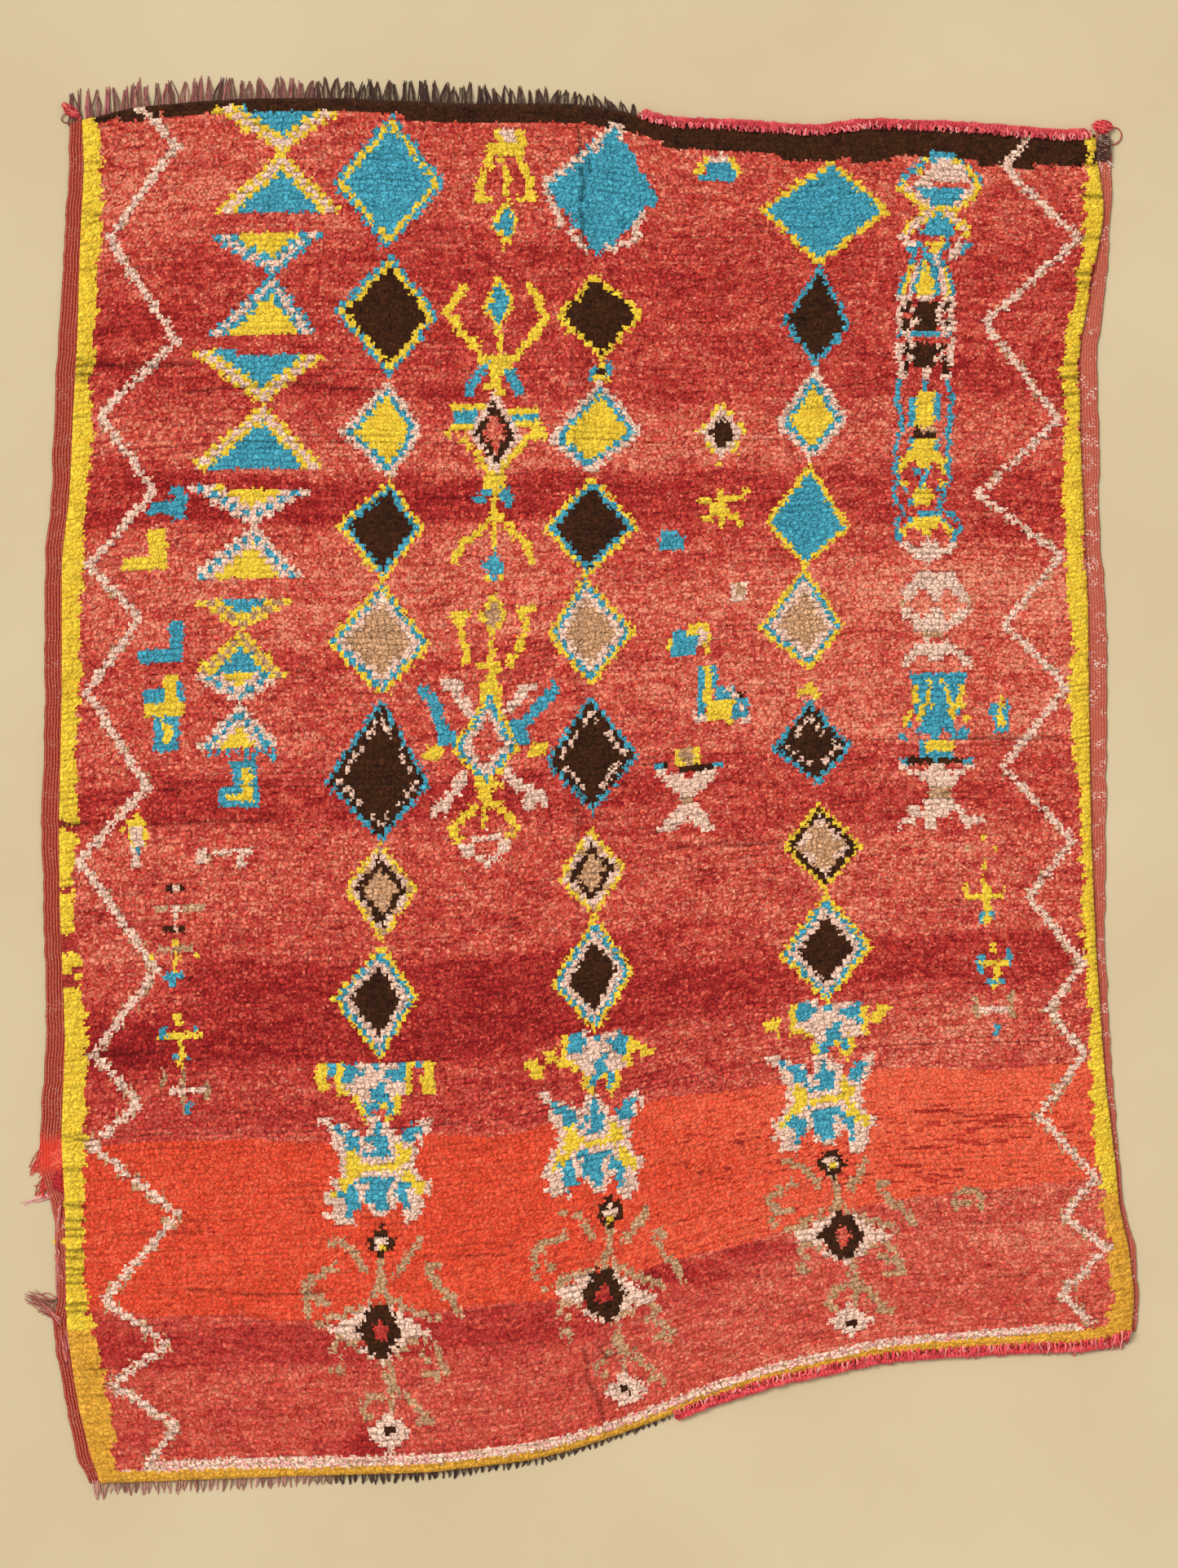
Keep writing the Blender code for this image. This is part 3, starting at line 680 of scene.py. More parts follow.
# The three chains of lozenges: corners, rings from the outline inwards, body
CHAINS = (
    # top, left, right, bottom
    ((480, 140), (410, 223), (545, 226), (476, 306), "TY", "T"),
    ((479, 313), (412, 381), (538, 388), (477, 462), "TY", "B"),
    ((476, 467), (418, 531), (518, 529), (479, 588), "WT", "Y"),
    ((479, 590), (414, 644), (519, 648), (471, 714), "YT", "B"),
    ((469, 714), (401, 788), (527, 790), (469, 854), "YTW", "C"),
    ((468, 857), (400, 960), (526, 962), (467, 1031), "TBv", "B"),
    ((466, 1034), (422, 1091), (511, 1091), (468, 1155), "YwB", "C"),
    ((467, 1160), (408, 1225), (513, 1224), (466, 1300), "YTW", "B"),
    ((751, 152), (666, 226), (810, 247), (734, 313), "", "T"),
    ((728, 336), (683, 389), (790, 385), (738, 441), "Y", "B"),
    ((736, 467), (672, 540), (788, 531), (724, 581), "WT", "Y"),
    ((726, 584), (668, 648), (783, 646), (722, 708), "YT", "B"),
    ((717, 707), (672, 779), (779, 775), (724, 841), "YTW", "C"),
    ((723, 855), (670, 935), (783, 925), (727, 997), "TBv", "B"),
    ((724, 1017), (683, 1078), (767, 1065), (728, 1124), "YwB", "C"),
    ((728, 1125), (676, 1207), (777, 1190), (731, 1267), "YTW", "B"),
    ((1020, 197), (933, 257), (1091, 258), (1005, 325), "Y", "T"),
    ((1006, 328), (960, 393), (1043, 401), (999, 448), "T", "B"),
    ((1000, 450), (952, 519), (1039, 519), (995, 565), "WT", "Y"),
    ((994, 570), (939, 641), (1042, 648), (988, 694), "Y", "T"),
    ((987, 696), (931, 771), (1035, 770), (993, 821), "YTW", "C"),
    ((994, 860), (948, 919), (1043, 916), (1003, 962), "TBv", "B"),
    ((1004, 986), (959, 1040), (1057, 1037), (1012, 1091), "YBw", "C"),
    ((1012, 1096), (957, 1171), (1069, 1161), (1015, 1231), "YTW", "B"),
    ((883, 492), (855, 531), (918, 531), (884, 571), "yW", "B"),
)
for lozenge_row in CHAINS:
    lozenge(*lozenge_row)
# The second chain's first lozenge has its white down the left alone, and a notch at the right
wedge("R", 254, 296, 789, 840, 784, 840)
stroke("W", 8, (752, 150), (728, 182), (668, 224), (672, 240), (692, 280), (722, 306))
stroke("W", 8, (788, 262), (778, 276), (784, 288), (776, 296), (748, 306))
stroke("W", 7, (756, 154), (764, 168))
for block in (
    ("T", 724, 732, 450, 464), ("T", 742, 750, 448, 458), ("Y", 732, 740, 446, 452),
    ("Y", 728, 748, 462, 466), ("B", 730, 742, 453, 462), ("Y", 978, 1005, 846, 855),
    ("Y", 988, 996, 838, 850),
):
    box(*block)

# Under each chain: a cup with side tufts, then a spread hide, from two charts
CUP = (
    "YTTWWTWWWTY YTTTWWWTTTY YTTWWWWWTTY YWWWWWTWWWY YYWWWTTWWWY "
    "..YWWTTWY. ...YTTYTY.. ...YT..TY.. ....Y..Y..."
)
HIDE = (
    "WW.....WW.....WW. .WTW...WTW...TTW. ..WTTW.WTWW.TTW.. ..WWTTWTTTWWTTW.. ..WWTTWWTTWYWW..."
    " ...WYWTTTTWYYW... ...WYYWWWWWYYW... ...WYYYYYYYYWW... ...WYYWWWWWWYW... ..WYYWTTTTTWYYW.."
    " ..WYTWWTTTWTTYYW. .WYTTTWTTTWTTWYW. .WWWTTWTTTWWTWW.. ..WWTT.WTTW.TWW.. .WWWT...WW..WWW.."
    " ..WWW.......WW..."
)
chart(413, 1303, CUP)
chart(390, 1371, HIDE)
chart(690, 1268, CUP, wide=7.8, high=8.2)
chart(658, 1341, HIDE, wide=8.2, high=8.0)
chart(970, 1231, CUP, wide=8.7, high=7.6)
chart(939, 1293, HIDE, wide=8.4, high=7.4)
for block in (
    ("Y", 388, 403, 1303, 1318), ("T", 403, 413, 1303, 1320), ("Y", 391, 404, 1319, 1338),
    ("T", 509, 520, 1303, 1311), ("Y", 520, 533, 1303, 1316), ("Y", 519, 535, 1320, 1340),
    ("Y", 646, 662, 1300, 1314), ("Y", 654, 668, 1310, 1322), ("Y", 670, 688, 1292, 1308),
    ("Y", 775, 789, 1273, 1290), ("Y", 786, 803, 1284, 1296), ("T", 700, 712, 1270, 1290),
    ("T", 752, 770, 1270, 1284), ("Y", 940, 954, 1252, 1269), ("Y", 950, 960, 1248, 1258),
    ("Y", 1075, 1092, 1231, 1246), ("Y", 1070, 1082, 1242, 1257),
):
    box(*block)

# The tall beige figures at the foot of each chain: a small lozenge, claws, a stem, a dark eye
# in beige wings, legs, and a white rosette. Each is the same drawing, set smaller and leaning.
EYES = (
    # across, down, height share, lean above the eye, lean below it, rosette
    (466, 1633, 1.0, 0.01, 0.10, (478, 1758)), (741, 1589, 0.94, 0.07, 0.21, (768, 1706)),
    (1034, 1517, 0.83, -0.13, 0.10, (1044, 1621)),
)
BEIGE_LINES = (
    (10, (-62, -110), (-43, -106), (-30, -92), (-22, -76)),
    (10, (46, -110), (40, -100), (30, -86), (20, -70)),
    (10, (-56, -79), (-95, -57), (-88, -40), (-66, -36)), (9, (-90, -42), (-88, -20)),
    (10, (68, -80), (58, -77), (72, -50), (89, -40), (97, -17)), (9, (0, -90), (0, -40)),
    (15, (0, -60), (0, -50)), (9, (-76, -8), (-34, -26), (-1, -46), (34, -28), (74, -12)),
    (7, (-51, 6), (-4, 37)), (7, (48, 6), (4, 37)), (9, (-51, 6), (-61, 23), (-53, 29)),
    (11, (-64, 46), (-54, 50)), (9, (56, 10), (66, 23), (70, 41), (76, 50)), (9, (47, 31), (59, 35)),
    (10, (52, 54), (68, 56)), (8, (7, 41), (7, 99)), (17, (6, 55), (7, 72)),
    (9, (-10, 78), (-26, 86), (-32, 100), (-20, 105)),
    (9, (15, 74), (31, 86), (42, 101), (50, 109), (34, 109)),
)


def diamond(x, y, half_wide, rise, drop):
    """The corners of an upright lozenge about a pixel: top, right, bottom, left."""
    return [(x, y - rise), (x + half_wide, y), (x, y + drop), (x - half_wide, y)]


for eye_x, eye_y, tall, lean_up, lean_down, rosette in EYES:

    def put(dx, dy):
        """A point of the drawing, set to this figure's height and lean."""
        lean = -lean_up if dy < 0 else lean_down
        return eye_x + dx * (0.5 + 0.5 * tall) + dy * lean, eye_y + dy * tall

    worn_out = hand.random(across.shape) < 0.09
    before = knots.copy()
    for wide, *points_of_line in BEIGE_LINES:
        stroke("K", wide, *[put(*point) for point in points_of_line])
    knots[worn_out] = before[worn_out]
    wedge("W", eye_y - 35 * tall, eye_y + 1, eye_x - 10, eye_x + 8, eye_x - 66, eye_x + 60)
    wedge("W", eye_y + 1, eye_y + 10, eye_x - 68, eye_x + 68, eye_x - 34, eye_x + 40)
    brow = ((eye_x - 24, eye_y + 22 * tall), (eye_x + 4, eye_y + 36 * tall), (eye_x + 28, eye_y + 12))
    stroke("W", 7, *brow)
    eye_rim = ((-8, -35 * tall), (8, -35 * tall), (28, 0), (8, 33 * tall), (-8, 33 * tall), (-29, 0))
    fill(inside_of([(eye_x + dx, eye_y + dy) for dx, dy in eye_rim]) >= 0, "B")
    fill(inside_of(diamond(eye_x, eye_y, 12, 14, 14)) >= 0, "R")
    rose_x, rose_y = rosette
    fill(inside_of(diamond(rose_x, rose_y, 30, 26 * tall, 24 * tall)) >= 0, "W")
    box("B", rose_x - 6, rose_x + 6, rose_y - 4, rose_y + 4)
    small_x, small_y = put(0, -108)
    small_deep = inside_of(diamond(small_x, small_y, 20, 20, 19))
    ringed(small_deep, "B", "W", small_deep >= 0)
    box("Y", small_x - 3, small_x + 5, small_y + 1, small_y + 9)

# The standing figures between the first two chains
for block in (
    ("W", 615, 633, 157, 174), ("Y", 607, 616, 159, 176), ("Y", 633, 644, 158, 177),
    ("Y", 598, 645, 177, 189), ("Y", 593, 628, 436, 450), ("Y", 601, 616, 450, 482),
    ("Y", 594, 620, 474, 482), ("Y", 554, 596, 498, 506), ("T", 556, 587, 507, 518),
    ("Y", 553, 584, 519, 525), ("Y", 545, 556, 525, 535), ("Y", 619, 660, 499, 506),
    ("T", 628, 661, 506, 514), ("Y", 628, 663, 514, 521), ("Y", 653, 672, 522, 541),
):
    box(*block)
lozenge((621, 246), (602, 274), (637, 274), (621, 303), "Y", "T")
lozenge((613, 338), (593, 373), (631, 373), (612, 409), "Y", "T")
for drawn in (
    ("Y", 9, (602, 188), (601, 201), (595, 210), (591, 217), (588, 232), (594, 245)),
    ("Y", 8, (618, 196), (621, 213), (623, 241)), ("Y", 7, (588, 245), (602, 247)),
    ("Y", 7, (655, 246), (636, 247)),
    ("Y", 9, (637, 190), (642, 205), (648, 216), (652, 233), (647, 246)),
    ("Y", 10, (571, 350), (557, 365), (550, 385), (566, 406), (583, 426), (590, 440)),
    ("Y", 10, (650, 353), (658, 368), (670, 392), (660, 406), (648, 418), (630, 440)),
    ("Y", 7, (613, 409), (612, 438)), ("T", 12, (592, 451), (585, 464), (576, 480)),
    ("T", 12, (624, 455), (631, 469), (638, 482)), ("Y", 8, (566, 536), (607, 586), (647, 536)),
):
    stroke(*drawn)
lozenge((606, 482), (576, 530), (638, 533), (608, 581), "WB", "R")
for block in (
    ("Y", 594, 623, 584, 601), ("Y", 603, 611, 601, 631), ("Y", 596, 618, 631, 642),
    ("Y", 603, 610, 641, 677), ("T", 604, 611, 702, 715), ("Y", 597, 603, 703, 713),
    ("Y", 612, 618, 703, 713), ("Y", 586, 614, 814, 824), ("Y", 597, 608, 825, 839),
    ("Y", 588, 614, 839, 858), ("Y", 521, 544, 914, 932), ("Y", 650, 673, 912, 930),
    ("T", 540, 560, 900, 915), ("T", 624, 648, 886, 912), ("W", 528, 552, 984, 1000),
    ("W", 640, 672, 975, 988), ("Y", 582, 614, 957, 968), ("Y", 586, 604, 967, 988),
    ("Y", 590, 597, 987, 1020),
):
    box(*block)
lozenge((607, 676), (591, 697), (622, 697), (607, 708), "", "T")
lozenge((604, 730), (586, 754), (624, 754), (602, 779), "Y", "K")
for drawn in (
    ("T", 12, (596, 604), (588, 615)), ("T", 12, (617, 604), (626, 615)),
    ("Y", 10, (592, 647), (580, 658), (568, 665), (559, 686)),
    ("Y", 10, (623, 646), (632, 657), (645, 665), (653, 686)),
    ("Y", 9, (556, 753), (572, 753), (562, 764), (567, 785), (574, 811)),
    ("Y", 9, (655, 746), (638, 748), (645, 766), (640, 787), (626, 811)),
    ("Y", 7, (602, 778), (602, 816)),
    ("W", 12, (547, 840), (564, 842), (558, 852), (569, 864), (578, 876)),
    ("W", 12, (652, 841), (637, 843), (640, 853), (630, 862), (622, 874)),
    ("T", 14, (518, 846), (530, 860), (535, 871), (541, 893), (554, 912)),
    ("T", 14, (679, 846), (668, 860), (656, 872), (645, 886), (630, 906)),
    ("W", 14, (568, 952), (555, 974), (532, 996)),
    ("W", 14, (622, 950), (636, 964), (664, 976), (646, 987)),
    ("Y", 9, (582, 991), (565, 1004), (553, 1022), (562, 1034)),
    ("Y", 9, (609, 988), (626, 1002), (632, 1018), (620, 1028)),
):
    stroke(*drawn)
lozenge((601, 843), (556, 920), (637, 918), (596, 966), "YTW", "R")
lozenge((596, 1020), (562, 1041), (630, 1037), (597, 1062), "W", "R")

# The scattered small figures right of the middle
for drawn in (
    ("Y", 8, (853, 214), (862, 200), (876, 194)), ("W", 8, (872, 197), (886, 192), (898, 199)),
    ("Y", 8, (897, 198), (908, 213)), ("Y", 8, (859, 611), (880, 620), (914, 607)),
    ("Y", 8, (884, 604), (884, 645)), ("Y", 8, (864, 640), (884, 624), (906, 640)),
    ("T", 22, (819, 665), (829, 665)),
):
    stroke(*drawn)
for block in (
    ("T", 866, 896, 202, 212), ("T", 859, 904, 211, 222), ("W", 897, 917, 712, 738),
    ("K", 902, 912, 718, 732), ("T", 824, 855, 777, 803), ("Y", 843, 870, 764, 777),
    ("Y", 842, 850, 772, 781), ("W", 855, 865, 768, 797), ("Y", 865, 871, 768, 799),
    ("Y", 819, 824, 783, 799), ("T", 855, 866, 821, 877), ("Y", 863, 874, 819, 868),
    ("T", 873, 881, 819, 844), ("T", 878, 900, 842, 868), ("Y", 868, 900, 859, 886),
    ("W", 890, 898, 843, 852), ("W", 898, 908, 850, 859), ("B", 908, 914, 849, 855),
    ("T", 900, 918, 857, 884), ("W", 906, 914, 862, 872), ("W", 908, 918, 877, 885),
    ("W", 852, 868, 875, 884), ("Y", 828, 858, 917, 940), ("K", 834, 851, 920, 936),
    ("B", 806, 881, 939, 945), ("T", 802, 812, 937, 945), ("T", 876, 885, 937, 945),
    ("K", 837, 851, 974, 988),
):
    box(*block)
wedge("W", 947, 966, 804, 882, 818, 866)
wedge("W", 966, 976, 820, 862, 832, 854)
wedge("W", 986, 1020, 832, 854, 806, 882)
wedge("R", 1004, 1021, 843, 845, 826, 862)
box("R", 838, 850, 947, 956)

# The column of figures at the right: a dome, two hourglasses, lattices, a long body, and below
# them white and blue figures and two small plants
stroke("T", 9, (1108, 223), (1120, 210), (1134, 197), (1157, 189), (1171, 194), (1186, 207), (1202, 223))
wedge("W", 192, 207, 1152, 1167, 1138, 1180)
wedge("W", 207, 226, 1138, 1180, 1122, 1193)
for dot_across, dot_down in ((1128, 208), (1137, 197), (1172, 196), (1184, 206), (1192, 214), (1199, 221)):
    box("Y", dot_across - 4, dot_across + 4, dot_down - 4, dot_down + 4)
wedge("T", 229, 255, 1123, 1190, 1138, 1168)
wedge("T", 254, 286, 1150, 1158, 1127, 1171)
for drawn in (
    ("Y", 13, (1109, 231), (1134, 251)), ("W", 7, (1113, 230), (1137, 250)),
    ("Y", 13, (1198, 232), (1174, 254)), ("W", 7, (1193, 231), (1172, 252)),
    ("Y", 13, (1146, 257), (1113, 281)), ("W", 7, (1145, 258), (1114, 281)),
    ("Y", 13, (1160, 258), (1184, 282)), ("W", 7, (1162, 259), (1183, 281)),
    ("W", 12, (1111, 291), (1118, 300)), ("W", 13, (1178, 300), (1170, 312)),
    ("T", 6, (1124, 296), (1138, 313)), ("T", 6, (1165, 295), (1152, 313)),
    ("T", 6, (1108, 302), (1121, 308)), ("T", 6, (1186, 300), (1178, 313)),
    ("T", 6, (1124, 315), (1112, 335), (1101, 361)), ("T", 6, (1152, 312), (1161, 330), (1170, 361)),
    ("Y", 6, (1118, 328), (1108, 360)), ("Y", 6, (1158, 332), (1164, 360)),
    ("W", 8, (1126, 330), (1115, 364)), ("W", 8, (1147, 312), (1154, 335), (1159, 364)),
    ("T", 5, (1132, 322), (1120, 360)), ("T", 6, (1142, 312), (1151, 361)),
):
    stroke(*drawn)
wedge("Y", 293, 311, 1129, 1160, 1144, 1148)
wedge("Y", 318, 361, 1135, 1137, 1123, 1148)
for block in (
    ("W", 1100, 1118, 362, 370), ("W", 1100, 1108, 370, 405), ("W", 1163, 1171, 364, 405),
    ("W", 1127, 1143, 362, 372), ("B", 1108, 1118, 370, 385), ("B", 1107, 1116, 392, 404),
    ("B", 1122, 1149, 372, 405), ("W", 1117, 1124, 377, 386), ("W", 1117, 1126, 389, 397),
    ("W", 1147, 1157, 373, 384), ("W", 1148, 1157, 388, 398), ("B", 1157, 1163, 371, 386),
    ("B", 1158, 1164, 392, 405), ("T", 1104, 1169, 405, 416), ("W", 1109, 1118, 402, 417),
    ("W", 1155, 1163, 398, 416), ("W", 1099, 1108, 418, 455), ("W", 1162, 1170, 418, 455),
    ("B", 1108, 1162, 419, 432), ("B", 1117, 1150, 430, 442), ("B", 1120, 1146, 440, 453),
    ("B", 1108, 1114, 440, 458), ("B", 1156, 1162, 436, 458), ("W", 1115, 1122, 420, 427),
    ("W", 1147, 1154, 421, 427), ("W", 1152, 1159, 427, 433), ("W", 1112, 1123, 438, 446),
    ("W", 1145, 1155, 438, 446), ("W", 1100, 1113, 455, 464), ("W", 1131, 1141, 454, 467),
    ("W", 1155, 1168, 456, 465), ("T", 1144, 1153, 484, 520), ("T", 1115, 1122, 484, 520),
    ("Y", 1122, 1146, 484, 521), ("T", 1132, 1137, 468, 480), ("B", 1121, 1147, 521, 527),
    ("C", 1121, 1147, 527, 533), ("B", 1121, 1147, 533, 539), ("T", 1114, 1120, 539, 553),
    ("T", 1146, 1152, 541, 553), ("Y", 1119, 1146, 539, 556), ("Y", 1114, 1154, 553, 566),
    ("Y", 1126, 1143, 565, 574), ("Y", 1103, 1114, 557, 573), ("Y", 1100, 1107, 573, 581),
    ("Y", 1102, 1112, 587, 596), ("Y", 1154, 1162, 562, 574), ("Y", 1158, 1165, 573, 583),
    ("Y", 1152, 1160, 590, 600), ("T", 1108, 1116, 599, 608), ("T", 1113, 1122, 610, 618),
    ("T", 1147, 1154, 598, 607), ("Y", 1116, 1148, 602, 611), ("Y", 1122, 1143, 597, 620),
    ("Y", 1128, 1134, 590, 598), ("W", 1107, 1118, 663, 674), ("W", 1162, 1174, 664, 676),
    ("K", 1134, 1158, 775, 785), ("T", 1110, 1119, 887, 896), ("T", 1102, 1111, 900, 908),
    ("T", 1121, 1136, 893, 904), ("T", 1141, 1149, 893, 910), ("T", 1158, 1172, 893, 904),
    ("T", 1176, 1188, 893, 911), ("T", 1131, 1154, 880, 898), ("T", 1127, 1168, 909, 928),
    ("Y", 1134, 1168, 909, 921), ("T", 1103, 1192, 929, 936), ("B", 1112, 1180, 928, 935),
    ("T", 1145, 1151, 930, 936), ("K", 1138, 1164, 968, 978), ("W", 1115, 1128, 990, 1000),
    ("W", 1133, 1149, 998, 1018), ("T", 1212, 1225, 859, 877), ("T", 1220, 1238, 872, 900),
    ("T", 1229, 1238, 859, 872), ("Y", 1224, 1234, 879, 895), ("Y", 1203, 1208, 1021, 1029),
    ("K", 1182, 1187, 1038, 1045), ("Y", 1218, 1223, 1037, 1044), ("Y", 1204, 1208, 1054, 1094),
    ("Y", 1181, 1186, 1086, 1105), ("Y", 1228, 1233, 1085, 1100), ("Y", 1206, 1215, 1091, 1134),
    ("Y", 1184, 1230, 1099, 1105), ("T", 1200, 1208, 1121, 1130), ("T", 1213, 1221, 1119, 1128),
    ("Y", 1214, 1223, 1153, 1168), ("T", 1199, 1207, 1173, 1190), ("T", 1233, 1241, 1166, 1183),
    ("Y", 1204, 1240, 1176, 1183), ("Y", 1218, 1226, 1185, 1214), ("T", 1211, 1219, 1200, 1210),
    ("T", 1225, 1233, 1199, 1208), ("W", 1200, 1243, 1237, 1244), ("K", 1195, 1202, 1219, 1251),
    ("K", 1238, 1245, 1214, 1246), ("T", 1219, 1227, 1260, 1269), ("K", 1168, 1176, 1460, 1486),
    ("K", 1176, 1200, 1460, 1467), ("K", 1176, 1192, 1474, 1480), ("K", 1198, 1206, 1466, 1486),
):
    box(*block)
for part in (
    ("T", 825, 838, 1114, 1185, 1120, 1184), ("T", 838, 864, 1120, 1182, 1122, 1182),
    ("T", 864, 892, 1118, 1184, 1132, 1168), ("Y", 631, 641, 1128, 1149, 1119, 1158),
    ("Y", 641, 653, 1119, 1157, 1133, 1142), ("W", 704, 738, 1122, 1172, 1144, 1150),
    ("W", 743, 772, 1144, 1150, 1124, 1170), ("W", 786, 803, 1134, 1162, 1130, 1166),
    ("W", 803, 814, 1132, 1162, 1144, 1150), ("W", 937, 955, 1143, 1156, 1128, 1176),
    ("W", 955, 968, 1126, 1178, 1144, 1162), ("W", 977, 1002, 1130, 1174, 1138, 1164),
):
    wedge(*part)
lozenge((1140, 660), (1114, 677), (1164, 677), (1140, 693), "", "W")
for drawn in (
    ("T", 6, (1104, 469), (1099, 490), (1104, 505), (1107, 525), (1099, 540), (1098, 560),
     (1100, 590), (1096, 606), (1104, 622), (1108, 630), (1100, 642), (1104, 660)),
    ("T", 6, (1163, 469), (1168, 485), (1163, 505), (1167, 520), (1160, 532), (1165, 560),
     (1164, 590), (1158, 610), (1152, 623)),
    ("T", 6, (1158, 628), (1172, 635), (1178, 646), (1172, 661)),
    ("T", 5, (1106, 650), (1118, 637), (1132, 629), (1150, 630), (1160, 640), (1170, 652)),
    ("T", 6, (1126, 575), (1133, 587)), ("T", 6, (1140, 576), (1130, 592)),
    ("Y", 7, (1122, 641), (1108, 652)), ("Y", 7, (1156, 641), (1167, 655)),
    ("W", 8, (1112, 668), (1124, 679)), ("W", 8, (1168, 670), (1156, 679)),
    ("W", 15, (1113, 731), (1127, 713), (1146, 708), (1165, 713), (1181, 731)),
    ("W", 14, (1112, 750), (1129, 766), (1147, 771), (1164, 766), (1183, 750)),
    ("W", 11, (1111, 812), (1123, 800), (1136, 790)), ("W", 11, (1160, 790), (1174, 801), (1186, 812)),
    ("K", 5, (1106, 736), (1105, 746)), ("K", 5, (1188, 736), (1188, 746)),
    ("Y", 7, (1121, 842), (1125, 862), (1132, 872), (1128, 885)),
    ("Y", 5, (1143, 832), (1137, 848), (1140, 865)),
    ("Y", 6, (1154, 832), (1163, 850), (1166, 870), (1174, 885)),
    ("Y", 7, (1180, 840), (1178, 866), (1168, 871)), ("Y", 6, (1117, 877), (1109, 888)),
    ("Y", 6, (1183, 877), (1189, 885)), ("Y", 5, (1230, 858), (1226, 872), (1229, 884)),
    ("W", 8, (1106, 941), (1122, 947), (1136, 957)), ("W", 8, (1192, 938), (1178, 947), (1166, 956)),
    ("W", 7, (1102, 1012), (1118, 1005), (1134, 999)),
    ("W", 10, (1170, 990), (1180, 999), (1187, 1012)), ("W", 7, (1186, 1004), (1205, 1006)),
):
    stroke(*drawn)

# Every face takes the dye of the knot it lies on; an end near a knot's edge may lie over the next
slack = np.random.default_rng(31)
face_rows, face_columns = up - 1, along - 1
row_of = (np.arange(face_rows)[:, None] + 0.5 + slack.normal(0, 0.42, (face_rows, face_columns))) / ENDS
row_of = np.clip(row_of.astype(int), 0, KNOT_ROWS - 1)
slipped = np.rint(slack.normal(0, 0.42, (face_rows, face_columns))).astype(int)
column_of = np.arange(face_columns)[None, :] + slipped
dyed = knots[row_of, np.clip(column_of, 0, face_columns - 1)]

# Along the bottom: a mustard stripe at the edge and a line of white above it, whose knots are
# longer and lean out over the edge, so their borders are set for each end and not for each row
BOTTOM_STRIPES = (
    # across in pixels, top of the mustard and top of the white, in pixels above the edge
    (118, 17, 17), (176, 14, 16), (190, 13, 27), (300, 13, 26), (400, 10, 24), (560, 11, 23),
    (800, 10, 21), (1000, 10, 21), (1180, 13, 22), (1260, 15, 25), (1318, 17, 27), (1332, 18, 18),
    (1400, 20, 20),
)
face_across = face_x / PIXEL + ORIGIN_ACROSS
above_edge = (face_y - read(BOTTOM_END, face_x)) / PIXEL + slack.normal(0, 0.7, dyed.shape)
white_line = (face_across > 150) & (above_edge < straight(BOTTOM_STRIPES, face_across, 2))
dyed[white_line] = DYES.index("W")
dyed[white_line & (slack.random(dyed.shape) < 0.2)] = DYES.index("K")
dyed[white_line & (slack.random(dyed.shape) < 0.25)] = DYES.index("P")
dyed[(face_across > 112) & (above_edge < straight(BOTTOM_STRIPES, face_across))] = DYES.index("M")

# What the wool of each dye is like. Its colour runs from dark to light: single ends differ, and
# knots and patches do too. Thick white knots are set well apart, and brown ones have felted.
WOOLS = {
    # dark, light, painted shade in the crevices round its knots, painted shade round single beads, how
    # proud it stands in mm, its grooves
    "R": (None, None, 0.62, 0.25, 0.0, 0.62),
    "W": ("#E6B49C", "#FAD3BD", 0.3, 1.0, 1.5, 1.25),
    "Y": ("#DAA926", "#F5D544", 0.25, 0.25, 0.8, 0.8),
    "M": ("#BC8220", "#EDAF42", 0.25, 0.2, 0.4, 0.7),
    "T": ("#2A7B93", "#54AFC5", 0.4, 0.75, 0.3, 0.7),
    "B": ("#180A04", "#4A2712", 0.4, 0.0, -1.2, 0.35),
    "C": ("#A97850", "#DDAC84", 0.6, 0.9, -0.4, 0.6),
    "K": ("#A5764F", "#D2A680", 0.6, 0.7, 0.1, 0.8),
    "P": ("#DE7F7D", "#F2B0A8", 0.8, 0.5, 0.5, 0.9),
    "D": ("#8A211E", "#B84036", 0.8, 0.3, -2.0, 0.8),
}
CREVICE_SHADE, BEAD_SHADE, PROUD, GROOVES = 2, 3, 4, 5


def wool(column, places):
    """One column of the wools' table, for each place in an array of dyes."""
    return np.array([WOOLS[dye][column] for dye in DYES])[places]


# The red field's dye lots, at the left and at the right: how light each is, by its share up the
# cloth. The weaver took up new wool at different rows on the two sides.
ABRASH_LEFT = (
    (0.000, 0.52), (0.060, 0.60), (0.080, 0.56), (0.086, 0.36), (0.108, 0.34), (0.114, 0.54),
    (0.134, 0.50), (0.246, 0.50), (0.296, 0.46), (0.302, 0.22), (0.368, 0.26), (0.378, 0.56),
    (0.468, 0.58), (0.476, 0.36), (0.500, 0.36), (0.508, 0.58), (0.580, 0.60), (0.586, 0.50),
    (0.596, 0.50), (0.604, 0.70), (0.690, 0.62), (0.696, 0.22), (0.722, 0.28), (0.732, 0.70),
    (0.772, 0.60), (0.790, 0.42), (0.880, 0.46), (0.910, 0.58), (1.000, 0.62),
)
ABRASH_RIGHT = (
    (0.000, 0.62), (0.120, 0.68), (0.236, 0.60), (0.290, 0.60), (0.304, 0.36), (0.334, 0.34),
    (0.342, 0.60), (0.420, 0.66), (0.434, 0.50), (0.492, 0.50), (0.502, 0.74), (0.560, 0.74),
    (0.590, 0.70), (0.606, 0.82), (0.640, 0.80), (0.652, 0.58), (0.686, 0.52), (0.690, 0.38),
    (0.722, 0.42), (0.732, 0.66), (0.770, 0.60), (0.790, 0.44), (0.880, 0.46), (0.920, 0.50),
    (0.940, 0.58), (1.000, 0.60),
)
